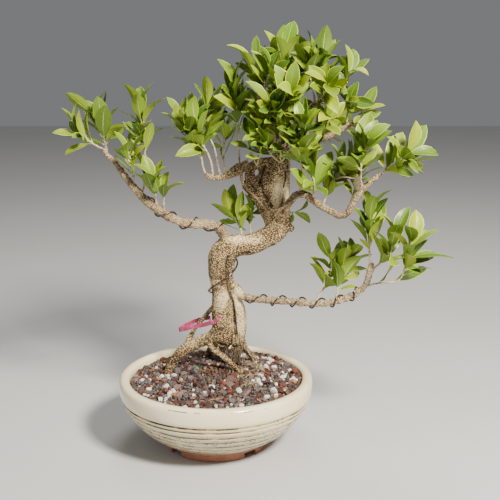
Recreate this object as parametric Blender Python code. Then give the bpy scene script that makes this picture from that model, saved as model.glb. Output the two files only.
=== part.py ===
"""A small ficus bonsai standing on its exposed roots in a round glazed pot.

Every length below is in millimetres, in a frame whose origin is the pot's axis at the foot, with
+X to the right, +Y to the back and +Z up. The finished pieces are scaled to metres.
"""

import math
import random

import bmesh
import bpy
from mathutils import Matrix, Vector
from mathutils.bvhtree import BVHTree

MM = 0.001
GAP = 0.35  # clearance where one piece meets or holds another

# Pot
POT_HEIGHT = 81.5
RIM_RADIUS = 110.0
FOOT_RADIUS = 58.7
FOOT_INNER_RADIUS = 50.0
FOOT_HEIGHT = 8.0
FLOOR_TOP = 14.0
DRAIN_RADIUS = 12.0
POT_SIDES = 40
FOOT_NOTCH_WIDTH = 17.0
FOOT_NOTCH_HEIGHT = 6.5
FOOT_TURN = math.radians(-3.0)

# Drain mesh and its staple
MESH_BARS = 6
MESH_PITCH = 6.0
MESH_BAR_WIDTH = 1.5
MESH_THICKNESS = 1.5
STAPLE_RADIUS = 0.7

# Soil
SOIL_EDGE = 75.0
MOUND_HEIGHT = 10.0
MOUND_SPREAD = 42.0
MOUND_CENTRE = (6.0, 22.0)
RECESS_RADIUS = 24.0
RECESS_TOP = 18.0
SOIL_SIDES = 28

# Wood, wire, tag and leaves
WOOD_VOXEL = 1.9
LIMB_SIDES = 12
LIMB_SPACING = 5.0
TRUNK_DETAIL = 0.07  # the share of the trunk's faces that is kept
BRANCH_SIDES = 8
BRANCH_SPACING = 9.0
WIRE_RADIUS = 1.2
WIRE_SIDES = 5
WIRE_SPACING = 4.0
WIRE_SLACK = 0.5
TAG_WIDTH = 5.0
TAG_THICKNESS = 0.8
TWIG_SPACING = 5.0
LEAF_LENGTH = 38.0
LEAF_THICKNESS = 1.0
LEAF_CLEARANCE = 0.45
LEAF_TRIES = 150
EXTRA_LIFT = Vector((0, -0.15, 0.35))
EXTRA_ROOM = ((-160, -95, 120), (248, 100, 462))
LEAST_LEAN = 0.25  # the cosine of the widest angle between a leaf and the normal of the face it grows from
CLEAR_STEM = 12.0  # the length of bare stem above a shoot's base
MOST_EXTRA_LEAVES = 6  # on each shoot, beyond the ones that SHOOTS lists

# Each limb of the one piece of wood that is trunk and roots: (x, y, z, radius) along it.
TRUNK_LIMBS = {
    "main_stem": [
        (6, 26, 108, 12), (7, 25, 120, 12), (6, 23, 139, 11), (6, 22, 159, 11), (6, 20, 178, 11.5),
        (5, 18, 195, 13), (6, 16, 212, 15), (13, 15, 225, 14.5), (26, 14, 229, 12.5),
        (39, 13, 230, 12), (53, 12, 236, 11.5), (64, 12, 242, 12), (71, 12, 252, 12.5),
        (71, 12, 267, 12.5), (70, 11, 285, 13), (71, 10, 304, 12), (72, 9, 320, 11.5),
        (73, 8, 333, 9.2), (72, 7, 348, 6.6), (72, 4, 364, 5.2), (73, 0, 385, 4), (72, -2, 402, 3)],
    "second_stem": [
        (20, 18, 214, 4), (18, 20, 206, 4.5), (16, 22, 192, 4), (17, 22, 178, 5), (22, 22, 162, 7.5),
        (26, 22, 148, 8.3), (27, 23, 136, 8.3), (27, 24, 120, 7.5), (26, 26, 108, 6)],
    "branch_collar": [(18, 22, 181, 6), (25, 20, 174, 6), (30, 17, 170.5, 4.8)],
    "cut_stub": [(72, 12, 250, 8), (80, 8, 252, 5.5), (87, 5, 248, 3.6)],
    "loop": [
        (64, 14, 250, 6), (58, 18, 260, 5.5), (51, 20, 271, 5), (47, 20, 281, 6), (41, 20, 292, 6.5),
        (38, 20, 304, 6), (40, 19, 316, 5.5), (52, 17, 321, 6), (64, 13, 322, 7)],
    "knot": [
        (58, 17, 262, 4.5), (54, 18, 272, 5.5), (50, 18, 282, 6.5), (48, 18, 292, 6.5), (50, 17, 302, 5.5),
        (54, 16, 311, 4.5), (58, 15, 320, 4)],
    "knot_twig_left": [
        (60, 9, 326, 3), (59, 6, 316, 2.4), (55, 5, 304, 2.4), (49, 8, 295, 2.4), (43, 12, 287, 2.6),
        (42, 17, 280, 2.4)],
    "knot_twig_right": [
        (66, 4, 318, 3), (63, 2, 309, 2.3), (60, 3, 301, 2.3), (54, 5, 294, 2.3), (51, 8, 286, 2.4),
        (51, 12, 276, 2.6)],
    "loop_stub": [(42, 20, 288, 6), (35, 21, 294, 4.5), (31, 22, 299, 3)],
    "flute": [(60, 14, 262, 5), (59, 12, 276, 4.5), (60, 11, 292, 4), (61, 11, 308, 4), (66, 10, 322, 5)],
    "root_left": [
        (4, 22, 128, 9), (-6, 18, 119, 7.5), (-20, 14, 115, 7), (-34, 12, 108, 6.8), (-44, 12, 99, 6.4),
        (-51, 12, 89, 5.8), (-56, 12, 78, 4.6), (-60, 12, 68, 3)],
    "root_strand": [
        (2, 26, 158, 4), (-6, 31, 149, 3.4), (-14, 36, 138, 3), (-24, 35, 126, 2.9), (-31, 26, 116, 3.6),
        (-34, 16, 109, 4)],
    "root_front": [
        (2, 20, 122, 7), (-8, 12, 119, 4.6), (-4, 3, 111, 3.9), (8, 0, 103, 3.5), (20, 0, 92, 3.4),
        (31, 0, 82, 3.3), (40, -2, 74, 2.8), (46, -3, 67, 2.4)],
    "root_centre": [(6, 24, 116, 8), (9, 24, 104, 5), (12, 22, 94, 4), (13, 22, 84, 3.4), (14, 22, 74, 2.6)],
    "root_back": [(4, 30, 118, 8), (0, 40, 107, 6), (-6, 50, 96, 5), (-12, 60, 84, 4.2), (-16, 68, 72, 3)],
    "root_right": [(27, 26, 116, 6.5), (32, 30, 104, 4.4), (38, 36, 94, 3.6), (46, 42, 84, 3), (52, 46, 74, 2.4)],
    "strand_a": [(23, 20, 118, 4), (21, 17, 107, 2.6), (21, 16, 96, 2.3), (20, 14, 84, 2.3), (20, 13, 74, 2.2)],
    "strand_b": [(27, 24, 112, 5), (27, 22, 103, 3), (26, 21, 94, 2.6), (26, 20, 84, 2.5), (27, 19, 74, 2.3)],
}

# Each branch: its parent, then (x, y, z, radius) from inside the parent to its tip.
BRANCHES = {
    "branch_left": ("trunk", [
        (12, 15, 230, 6), (9, 9, 243, 5.6), (6, 4, 250, 5.4), (-3, 0, 255, 5.4), (-12, -4, 257.5, 5.2),
        (-24, -8, 258.5, 5), (-34, -10, 260, 4.7), (-46, -11, 265, 4.6), (-60, -11, 274, 4.6),
        (-73, -10, 284, 4.4), (-86, -9, 298, 3.9), (-97, -8, 312, 3.3), (-106, -6, 325, 2.8),
        (-116, -5, 335, 2.5), (-119, -4, 340, 2.2)]),
    "branch_right": ("trunk", [
        (25, 20, 174, 3.6), (34, 14, 168.5, 4), (45, 8, 168, 3.9), (56, 4, 168, 3.8), (80, -4, 169, 3.8),
        (101, -10, 169, 3.7), (122, -15, 170, 3.6), (142, -19, 176, 3.4), (155, -20, 183, 3.2),
        (164, -20, 190, 3.2), (168, -20, 200, 3.4), (170, -20, 210, 3.4), (171, -20, 217, 2.8)]),
    "branch_crown_left": ("trunk", [
        (56, 16, 321, 5.2), (44, 20, 321, 5), (30, 14, 317, 4.6), (15, 8, 309, 4.2), (6, 4, 307, 3.4),
        (-4, 0, 308.5, 2.8), (-9, -2, 312, 2.5)]),
    "branch_crown_right": ("trunk", [
        (68, 10, 258, 6), (71, -1, 265, 5), (76, -8, 273, 4.2), (82, -14, 284, 3.9), (90, -18, 293, 3.8),
        (99, -21, 293, 3.7), (105, -23, 288, 3.7), (119, -26, 279, 3.6), (136, -30, 272, 3.6),
        (143, -32, 276, 3.5), (148, -34, 285, 3.3), (152, -36, 294, 3.1), (158, -38, 302, 2.9),
        (167, -40, 312, 2.6), (176, -40, 319, 2.2)]),
    "branch_upper_right": ("trunk", [
        (73, 8, 330, 5), (84, 10, 334, 4), (99, 13, 341, 3.6), (114, 16, 346, 3.3), (132, 20, 354, 3),
        (146, 22, 361, 2.7), (155, 24, 366, 2.4)]),
    "branch_top": ("trunk", [
        (72, 6, 352, 4.5), (84, 4, 366, 3.6), (96, 4, 378, 3.2), (110, 5, 388, 2.9), (124, 5, 394, 2.6),
        (134, 4, 399, 2.3)]),
    "branch_left_top": ("trunk", [
        (72, 6, 344, 4.5), (63, 4, 358, 3.6), (56, 0, 374, 3), (50, -2, 390, 2.7), (47, -2, 404, 2.3)]),
    "branch_back": ("trunk", [
        (72, 9, 330, 5), (76, 22, 338, 4), (82, 38, 346, 3.5), (91, 53, 355, 3), (99, 63, 362, 2.7), (107, 70, 369, 2.4)]),
}

# Each leafy shoot: its parent, its route from inside the parent, and where its leaves' tips are.
SHOOTS = {
    "left_a": ("branch_left",
        [(-120, -4, 339), (-128, -8, 345), (-136, -12, 353), (-140, -14, 361)],
        [(-170, -20, 360), (-145, -20, 390), (-155, 0, 370), (-135, -5, 380), (-140, -30, 385)]),
    "left_b": ("branch_left",
        [(-112, -5, 331), (-117, -1, 347), (-123, 0, 364), (-128, 2, 376)],
        [(-155, -10, 400), (-115, 10, 400), (-125, 0, 395), (-100, -10, 385), (-140, 15, 390),
         (-95, -15, 365), (-115, -20, 390)]),
    "left_c": ("branch_left",
        [(-78, -10, 289), (-75, -5, 304), (-74, 0, 327), (-77, 2, 359), (-79, 3, 378)],
        [(-95, -5, 410), (-65, 10, 410), (-80, -15, 400), (-50, -10, 395), (-100, 10, 380),
         (-65, -15, 370), (-90, -10, 350), (-80, 20, 405)]),
    "left_d": ("branch_left",
        [(-61, -11, 275), (-63, -17, 292), (-65, -21, 309)],
        [(-75, -15, 335), (-70, -40, 320), (-55, -10, 330), (-50, -30, 325)]),
    "left_e": ("branch_left",
        [(-55, -11, 273), (-54, -12, 285), (-55, -14, 293), (-60, -10, 297)],
        [(-50, 0, 315), (-70, 5, 315)]),
    "left_f": ("branch_left",
        [(-90, -9, 299), (-86, -10, 310), (-89, -12, 324), (-91, -14, 338)],
        [(-105, -15, 360), (-85, -5, 350), (-105, -20, 335), (-80, -25, 335), (-75, -5, 320),
         (-100, -15, 310)]),
    "right_a": ("branch_right",
        [(171, -20, 214), (168, -20, 234), (168, -22, 254), (169, -22, 274)],
        [(190, -25, 300), (160, -15, 300), (170, -35, 295), (150, -25, 280), (185, -10, 280),
         (145, -30, 270), (180, -35, 270), (155, -45, 250)]),
    "right_b": ("branch_right",
        [(169, -20, 206), (180, -26, 219), (190, -30, 231), (193, -32, 246)],
        [(180, -40, 275), (200, -25, 270), (170, -50, 260), (210, -20, 280), (195, -55, 270),
         (180, -45, 235)]),
    "right_c": ("branch_right",
        [(169, -20, 190), (182, -28, 197), (199, -34, 201), (205, -37, 216), (209, -38, 234),
         (210, -38, 245)],
        [(220, -45, 205), (190, -45, 225), (230, -30, 215), (240, -25, 230), (265, -45, 230),
         (240, -40, 260), (230, -20, 255), (215, -35, 275), (185, -55, 260), (200, -20, 265)]),
    "right_d": ("branch_right",
        [(131, -17, 175), (138, -12, 191), (144, -8, 204), (147, -6, 217)],
        [(135, -10, 245), (150, 5, 240), (160, -15, 225), (130, -20, 220), (170, 5, 205),
         (160, -10, 185), (145, -25, 235)]),
    "right_e": ("branch_right",
        [(110, -12, 170), (121, -2, 183), (129, 5, 198), (130, 12, 214)],
        [(115, 10, 245), (140, 25, 230), (150, 30, 215)]),
    "cl_a": ("branch_crown_left",
        [(-6, 0, 309), (-11, -3, 316), (-13, -4, 328), (-16, -6, 339), (-24, -8, 348), (-29, -8, 360),
         (-32, -8, 370)],
        [(-55, -10, 380), (-40, -20, 390), (-50, 0, 395), (-45, -15, 355), (-20, -20, 395),
         (-30, 5, 395)]),
    "cl_b": ("branch_crown_left",
        [(0, 0, 307), (-3, -4, 324), (-7, -8, 337), (-12, -10, 346), (-14, -12, 361), (-19, -14, 374)],
        [(-30, -20, 405), (-20, -30, 400), (-10, -5, 390), (-35, -30, 385), (-5, -30, 385)]),
    "cl_c": ("branch_crown_left",
        [(8, 2, 308), (3, 4, 326), (0, 2, 341), (-4, -2, 351), (-6, -6, 369), (-7, -8, 386)],
        [(-20, -10, 410), (-5, -15, 420), (10, -25, 380), (-15, -20, 375), (5, 5, 400), (10, -10, 410)]),
    "cl_d": ("branch_crown_left",
        [(14, 4, 308), (9, 10, 331), (11, 14, 347), (7, 18, 362), (2, 20, 377)],
        [(-10, 25, 400), (15, 25, 405), (25, 30, 380), (-15, 25, 365), (25, 10, 360)]),
    "cl_e": ("trunk",
        [(31, 22, 290), (28, 22, 310), (27, 22, 329), (26, 18, 352), (25, 12, 374), (23, 6, 393),
         (22, 4, 405)],
        [(5, 0, 435), (30, 0, 435), (35, -10, 425), (0, -15, 400), (40, -10, 405), (15, -20, 380),
         (15, 15, 430), (40, 10, 385)]),
    "cl_f": ("branch_crown_left",
        [(36, 18, 317), (41, 20, 335), (48, 22, 350), (48, 22, 361)],
        [(50, 25, 380), (35, 35, 380), (60, 10, 365), (30, 5, 365)]),
    "top_a": ("trunk",
        [(73, 0, 387), (73, -2, 408), (74, -4, 427), (74, -4, 444)],
        [(55, 0, 465), (75, -10, 470), (85, 5, 475), (65, -25, 460), (90, -15, 460), (65, 20, 445),
         (60, -15, 445)]),
    "top_b": ("branch_top",
        [(98, -6, 407), (102, -8, 421), (103, -8, 436)],
        [(85, -10, 460), (100, 5, 465), (110, -10, 465), (90, -30, 455), (110, -35, 445),
         (90, 10, 440)]),
    "top_c": ("branch_top",
        [(111, -2, 413), (116, 6, 423), (118, 10, 435)],
        [(120, 10, 470), (135, 5, 455), (130, 30, 455), (105, 25, 455), (145, 20, 435)]),
    "top_d": ("branch_left_top",
        [(47, 0, 406), (45, -2, 419), (45, -4, 432)],
        [(15, -5, 450), (45, -5, 460), (55, 5, 450), (30, -20, 445), (65, -20, 445), (30, 10, 425)]),
    "top_e": ("branch_left_top",
        [(52, -8, 396), (56, -22, 410), (58, -28, 421)],
        [(40, -30, 445), (50, -40, 450), (70, -30, 445), (35, -35, 420), (80, -35, 435)]),
    "mid_a": ("branch_left_top",
        [(56, -6, 371), (58, -24, 381), (60, -32, 390)],
        [(35, -40, 415), (50, -45, 425), (75, -45, 410), (45, -50, 395), (70, -55, 385),
         (35, -25, 380)]),
    "mid_b": ("trunk",
        [(72, 4, 368), (79, -22, 389), (82, -34, 403)],
        [(65, -40, 430), (85, -40, 435), (100, -45, 420), (65, -55, 415), (90, -60, 400),
         (75, -20, 425)]),
    "mid_c": ("branch_crown_right",
        [(92, -18, 293), (94, -30, 321), (93, -40, 348), (91, -46, 369)],
        [(80, -45, 400), (95, -40, 400), (110, -50, 390), (75, -60, 385), (105, -65, 365),
         (70, -50, 360), (115, -45, 350), (85, -65, 350)]),
    "mid_d": ("branch_upper_right",
        [(113, 12, 346), (120, -4, 362), (123, -14, 376)],
        [(120, -20, 395), (140, -20, 375), (110, -10, 390), (135, -5, 390), (110, -45, 375),
         (135, -35, 360)]),
    "mid_e": ("branch_top",
        [(116, 6, 387), (119, -14, 401), (120, -24, 412)],
        [(100, -30, 430), (130, -30, 430), (140, -35, 415), (100, -45, 410), (125, -55, 400),
         (120, -20, 435)]),
    "cr_a": ("branch_crown_right",
        [(106, -23, 287), (107, -28, 301), (106, -32, 313)],
        [(105, -40, 355), (85, -30, 345), (80, -40, 325), (95, -50, 345), (125, -25, 340),
         (115, -45, 300), (95, -50, 305)]),
    "cr_b": ("branch_crown_right",
        [(116, -26, 280), (125, -22, 305), (134, -24, 318), (138, -26, 327)],
        [(125, -35, 350), (145, -25, 350), (170, -35, 330), (115, -20, 330), (140, -45, 310),
         (120, -50, 320), (140, -5, 350)]),
    "cr_c": ("branch_crown_right",
        [(147, -33, 281), (149, -28, 297), (152, -24, 311), (152, -22, 324)],
        [(140, -25, 340), (155, -20, 345), (170, -30, 310), (165, -10, 335), (140, -10, 310),
         (155, -40, 295)]),
    "cr_d": ("branch_crown_right",
        [(156, -36, 301), (155, -40, 320), (155, -44, 338), (159, -46, 353)],
        [(150, -50, 375), (170, -40, 375), (185, -50, 365), (140, -40, 365), (175, -65, 345),
         (170, -40, 330), (165, -30, 385)]),
    "cr_e": ("branch_crown_right",
        [(169, -40, 314), (183, -40, 323), (195, -42, 331), (201, -44, 340)],
        [(210, -45, 375), (225, -50, 365), (220, -35, 340), (220, -50, 320), (190, -35, 360),
         (180, -55, 360), (205, -20, 365), (180, -30, 330)]),
    "ur_a": ("branch_upper_right",
        [(144, 22, 359), (145, 16, 377), (143, 10, 393)],
        [(130, 5, 410), (140, 10, 420), (155, 15, 410), (175, 10, 385), (190, 20, 405), (130, 25, 390),
         (155, -10, 395)]),
    "ur_b": ("branch_upper_right",
        [(155, 24, 365), (158, 14, 373), (160, 8, 380)],
        [(175, 15, 405), (180, 0, 385), (170, -10, 375), (140, -10, 400)]),
    "ur_c": ("branch_top",
        [(133, 2, 398), (141, 0, 408), (145, -2, 423)],
        [(155, -5, 465), (140, 0, 450), (165, 0, 435), (130, -10, 440), (160, -20, 420),
         (130, -25, 425), (150, 20, 445)]),
    "low_a": ("trunk",
        [(31, 14, 235), (28, 22, 247), (23, 28, 257)],
        [(-5, 20, 275), (10, 30, 290), (30, 20, 290), (35, 10, 265), (20, 40, 295), (5, 35, 250)]),
    "low_b": ("trunk",
        [(41, 13, 235), (39, 20, 249), (40, 24, 265)],
        [(35, 20, 285), (50, 30, 275), (45, 35, 290)]),
    "low_c": ("trunk",
        [(77, 12, 267), (85, 20, 265), (88, 22, 264)],
        [(100, 25, 260), (95, 30, 270)]),
    "back_a": ("branch_back",
        [(93, 56, 357), (89, 67, 376), (84, 74, 393)],
        [(70, 75, 420), (85, 80, 430), (100, 75, 410), (60, 85, 390), (110, 85, 385), (85, 95, 400)]),
    "back_b": ("branch_back",
        [(105, 69, 367), (114, 69, 379), (120, 68, 392)],
        [(110, 70, 420), (130, 75, 420), (145, 65, 400), (140, 80, 375), (110, 90, 395)]),
    "back_c": ("branch_back",
        [(88, 48, 352), (106, 60, 347), (122, 64, 350), (134, 66, 358)],
        [(135, 70, 385), (155, 60, 375), (165, 65, 350), (145, 75, 335), (120, 85, 370)]),
    "back_d": ("branch_back",
        [(83, 40, 347), (66, 53, 358), (50, 60, 372)],
        [(35, 60, 400), (50, 65, 405), (20, 55, 380), (40, 70, 355), (70, 80, 385)]),
    "back_e": ("branch_back",
        [(78, 28, 341), (74, 46, 366), (73, 48, 392), (72, 44, 414)],
        [(60, 45, 440), (75, 50, 450), (95, 40, 440), (50, 50, 425), (90, 60, 415)]),}

TRUNK_WIRE = [
    (16, 36, 214), (24, 30, 210), (25, 16, 205), (18, 4, 198), (6, 1, 190), (-5, 7, 181), (-9, 20, 174),
    (-5, 33, 168), (6, 39, 165), (18, 36, 164), (28, 28, 163), (34, 20, 162)]
TAG_ROUTE = [
    (6, 4, 152), (4, 4, 147), (1, 5, 143), (-5, 8, 140), (-14, 13, 136), (-26, 18, 132), (-37, 22, 128),
    (-43, 28, 125), (-41, 36, 125), (-34, 43, 127), (-25, 46, 130), (-15, 46, 133), (-8, 41, 135.5),
    (-7, 31, 137), (-7.5, 21, 138.5), (-8, 13, 139)]


# ---------------------------------------------------------------- curves and sweeps

def smooth(points, spacing):
    """Rows about every `spacing` along a smooth curve through points, which may carry a radius too."""
    ends = [points[0]] + list(points) + [points[-1]]
    rows = []
    for a, b, c, d in zip(ends, ends[1:], ends[2:], ends[3:]):
        steps = max(1, round((Vector(c[:3]) - Vector(b[:3])).length / spacing))
        for step in range(steps):
            t = step / steps
            weights = (
                (-t + 2 * t**2 - t**3) / 2, (2 - 5 * t**2 + 3 * t**3) / 2,
                (t + 4 * t**2 - 3 * t**3) / 2, (t**3 - t**2) / 2)
            rows.append([sum(w * p[i] for w, p in zip(weights, (a, b, c, d))) for i in range(len(b))])
    rows.append(list(points[-1]))
    return rows


def frames_along(centres):
    """(tangent, side, other side) at each centre, turning as little as possible from one to the next."""
    found = []
    for i in range(len(centres)):
        tangent = (centres[min(i + 1, len(centres) - 1)] - centres[max(i - 1, 0)]).normalized()
        side = found[-1][1] if found else tangent.orthogonal()
        side = (side - tangent * side.dot(tangent)).normalized()
        found.append((tangent, side, tangent.cross(side)))
    return found


def round_rings(centres, radii, sides):
    """Rings of corners about the centres, each anticlockwise about the way ahead."""
    rings = []
    for centre, radius, (_, side, other) in zip(centres, radii, frames_along(centres)):
        turns = [math.tau * k / sides for k in range(sides)]
        rings.append([centre + radius * (side * math.cos(a) + other * math.sin(a)) for a in turns])
    return rings


def add_sweep(bm, rings):
    """A closed solid through the rings. Returns its side faces, ring by ring, and its end face."""
    rows = [[bm.verts.new(corner) for corner in ring] for ring in rings]
    sides = []
    for low, high in zip(rows, rows[1:]):
        around = range(len(low))
        sides.append([bm.faces.new((low[k - 1], low[k], high[k], high[k - 1])) for k in around])
    bm.faces.new(list(reversed(rows[0])))
    return sides, bm.faces.new(rows[-1])


def add_tube(bm, rows, sides):
    """A round tube through rows of (x, y, z, radius)."""
    centres = [Vector(row[:3]) for row in rows]
    return add_sweep(bm, round_rings(centres, [row[3] for row in rows], sides))


def add_turned(bm, profile, sides, height_at=None):
    """A ring-shaped solid turned about Z from a closed (radius, height) profile, run down its outer side."""
    rows = []
    for k in range(sides):
        turn = math.tau * k / sides
        row = []
        for radius, z in profile:
            x, y = radius * math.cos(turn), radius * math.sin(turn)
            row.append(bm.verts.new((x, y, height_at(x, y, z) if height_at else z)))
        rows.append(row)
    for k, row in enumerate(rows):
        last = rows[k - 1]
        for i in range(len(profile)):
            bm.faces.new((last[i - 1], last[i], row[i], row[i - 1]))


# ---------------------------------------------------------------- objects

def material(name, colour, roughness, metallic=0.0):
    made = bpy.data.materials.new(name)
    made.use_nodes = True
    shader = made.node_tree.nodes["Principled BSDF"]
    shader.inputs["Base Color"].default_value = (*colour, 1.0)
    shader.inputs["Roughness"].default_value = roughness
    shader.inputs["Metallic"].default_value = metallic
    made.diffuse_color = (*colour, 1.0)
    return made


def finish(name, bm, look, root):
    """Scale a shape to metres and make it an object on the root."""
    bmesh.ops.scale(bm, vec=(MM, MM, MM), verts=bm.verts)
    bmesh.ops.recalc_face_normals(bm, faces=bm.faces)
    mesh = bpy.data.meshes.new(name)
    bm.to_mesh(mesh)
    bm.free()
    made = bpy.data.objects.new(name, mesh)
    bpy.context.scene.collection.objects.link(made)
    made.parent = root
    if look:
        mesh.materials.append(material(name, *look))
    return made


def as_cutter(piece):
    piece.hide_render = True
    piece.display_type = "WIRE"
    return piece


def cut(piece, cutter):
    boolean = piece.modifiers.new("cut_by_" + cutter.name, "BOOLEAN")
    boolean.operation = "DIFFERENCE"
    boolean.solver = "EXACT"
    boolean.object = cutter


def round_off(piece):
    piece.data.shade_smooth()
    piece.data.set_sharp_from_angle(angle=math.radians(50))


def evaluated_mesh(piece):
    bpy.context.view_layer.update()
    return bpy.data.meshes.new_from_object(piece.evaluated_get(bpy.context.evaluated_depsgraph_get()))


def tree_of(meshes, shapes=()):
    """A search tree, in millimetres, over meshes that are in metres and shapes that are in millimetres."""
    points, faces = [], []
    for mesh in meshes:
        first = len(points)
        points += [vert.co / MM for vert in mesh.vertices]
        faces += [[first + i for i in face.vertices] for face in mesh.polygons]
    for shape in shapes:
        shape.verts.index_update()
        first = len(points)
        points += [vert.co.copy() for vert in shape.verts]
        faces += [[first + vert.index for vert in face.verts] for face in shape.faces]
    return BVHTree.FromPolygons(points, faces)


# ---------------------------------------------------------------- pot, mesh, staple, soil

def pot_profile():
    rim = [
        (98.0, 78.3), (99.6, 80.4), (103.8, POT_HEIGHT), (107.6, 80.6), (109.7, 77.8),
        (RIM_RADIUS, 71.0), (109.6, 64.0), (108.4, 61.0), (107.0, 59.6)]
    bowl = [
        (105.0, 52.6), (101.0, 45.0), (95.0, 36.8), (88.0, 28.8), (80.0, 21.6), (71.0, 15.4), (62.6, 11.0)]
    foot = [
        (FOOT_RADIUS, FOOT_HEIGHT), (FOOT_RADIUS, 0.7), (FOOT_RADIUS - 0.7, 0.0),
        (FOOT_INNER_RADIUS + 0.7, 0.0), (FOOT_INNER_RADIUS, 0.7), (FOOT_INNER_RADIUS, FOOT_HEIGHT)]
    hole = [(DRAIN_RADIUS, FOOT_HEIGHT), (DRAIN_RADIUS, FLOOR_TOP)]
    inside = [(60.0, 15.4), (72.0, 21.0), (84.0, 31.6), (92.5, 43.6), (97.0, 57.0)]
    return rim + bowl + foot + hole + inside


def build_pot(root):
    bm = bmesh.new()
    add_turned(bm, pot_profile(), POT_SIDES)
    pot = finish("pot", bm, ((0.80, 0.75, 0.62), 0.22), root)
    for name, turn in (("foot_notch_a", math.radians(45)), ("foot_notch_b", math.radians(135))):
        bm = bmesh.new()
        size = Matrix.Diagonal((4 * FOOT_RADIUS, FOOT_NOTCH_WIDTH, 2 * FOOT_NOTCH_HEIGHT, 1))
        bmesh.ops.create_cube(bm, size=1, matrix=Matrix.Rotation(turn + FOOT_TURN, 4, "Z") @ size)
        cut(pot, as_cutter(finish(name, bm, None, root)))
    round_off(pot)


def build_drain_mesh(root):
    """A square plastic lattice over the drain hole, its cells set by the bars' width and pitch."""
    half = (MESH_PITCH * (MESH_BARS - 1) + MESH_BAR_WIDTH) / 2
    lines = []
    for bar in range(MESH_BARS):
        start = bar * MESH_PITCH - half
        lines += [start, start + MESH_BAR_WIDTH]
    bm = bmesh.new()
    corners = [[bm.verts.new((x, y, FLOOR_TOP + GAP)) for y in lines] for x in lines]
    for i in range(len(lines) - 1):
        for j in range(len(lines) - 1):
            if i % 2 == 0 or j % 2 == 0:
                bm.faces.new((corners[i][j], corners[i + 1][j], corners[i + 1][j + 1], corners[i][j + 1]))
    lattice = finish("drain_mesh", bm, ((0.05, 0.05, 0.05), 0.6), root)
    thickness = lattice.modifiers.new("thickness", "SOLIDIFY")
    thickness.thickness = MESH_THICKNESS * MM
    thickness.offset = 1


def build_staple(root):
    """A wire bent over the mesh, down through two openings and the drain hole, and out below."""
    top = FLOOR_TOP + 2 * GAP + MESH_THICKNESS + STAPLE_RADIUS
    below = FOOT_HEIGHT - GAP - STAPLE_RADIUS - 0.2
    leg = MESH_PITCH
    right = [
        (0, 0, top), (leg - 1.5, 0, top), (leg - 0.4, 0, top - 0.4), (leg, 0, top - 1.5),
        (leg, 0, below + 1.5), (leg + 0.5, 0, below + 0.4), (leg + 1.6, 0, below), (leg + 10, 0, below)]
    left = [(-x, y, z) for x, y, z in reversed(right[1:])]
    bm = bmesh.new()
    add_tube(bm, [(*point, STAPLE_RADIUS) for point in left + right], 8)
    round_off(finish("mesh_staple", bm, ((0.35, 0.22, 0.12), 0.4, 1.0), root))


def soil_height(x, y):
    """The gravel's surface: a mound round the trunk, on a bed that falls a little to the back left."""
    away = (x - MOUND_CENTRE[0]) ** 2 + (y - MOUND_CENTRE[1]) ** 2
    mound = MOUND_HEIGHT * math.exp(-away / (2 * MOUND_SPREAD**2))
    return SOIL_EDGE + mound + 2.0 * (x - y) / RIM_RADIUS


def build_soil(root, trunk_cutter):
    inside = [(96.4, 57.2), (91.9, 44.0), (83.5, 32.2), (71.7, 21.7), (59.9, 16.0)]
    top = [(radius, SOIL_EDGE) for radius in (2, 18, 36, 56, 78, 97.2)]
    bottom = [(RECESS_RADIUS, FLOOR_TOP + GAP), (RECESS_RADIUS, RECESS_TOP), (2, RECESS_TOP)]
    bm = bmesh.new()
    add_turned(
        bm, top + inside + bottom, SOIL_SIDES, lambda x, y, z: soil_height(x, y) if z == SOIL_EDGE else z)
    for z in (RECESS_TOP, SOIL_EDGE):
        middle = [vert for vert in bm.verts if math.hypot(vert.co.x, vert.co.y) < 3 and abs(vert.co.z - z) < 16]
        bmesh.ops.pointmerge(bm, verts=middle, merge_co=sum((v.co for v in middle), Vector()) / len(middle))
    soil = finish("soil", bm, ((0.22, 0.16, 0.13), 0.95), root)
    cut(soil, trunk_cutter)


# ---------------------------------------------------------------- wood

def build_trunk(root):
    """Trunk and roots, one piece of wood: its limbs are merged to one skin."""
    bm = bmesh.new()
    for limb in TRUNK_LIMBS.values():
        add_tube(bm, smooth(limb, LIMB_SPACING), LIMB_SIDES)
    trunk = finish("trunk", bm, ((0.42, 0.33, 0.22), 0.85), root)
    skin = trunk.modifiers.new("skin", "REMESH")
    skin.mode = "VOXEL"
    skin.voxel_size = WOOD_VOXEL * MM
    fewer = trunk.modifiers.new("fewer", "DECIMATE")
    fewer.ratio = TRUNK_DETAIL
    cutter = bpy.data.objects.new("trunk_cutter", evaluated_mesh(trunk))
    bpy.context.scene.collection.objects.link(cutter)
    cutter.parent = root
    swell = cutter.modifiers.new("swell", "DISPLACE")
    swell.strength = GAP * MM
    swell.mid_level = 0.0
    return as_cutter(cutter)


def build_branch(name, points, root, parent_cutter):
    """A tapering branch, cut at its base where it meets its parent, and its own slightly fatter cutter."""
    rows = smooth(points, BRANCH_SPACING)
    bm = bmesh.new()
    add_tube(bm, rows, BRANCH_SIDES)
    branch = finish(name, bm, ((0.46, 0.37, 0.26), 0.85), root)
    cut(branch, parent_cutter)
    round_off(branch)
    bm = bmesh.new()
    add_tube(bm, [(*row[:3], row[3] + GAP) for row in rows], BRANCH_SIDES)
    return branch, as_cutter(finish(name + "_cutter", bm, None, root))


# ---------------------------------------------------------------- wires and tag

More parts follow.
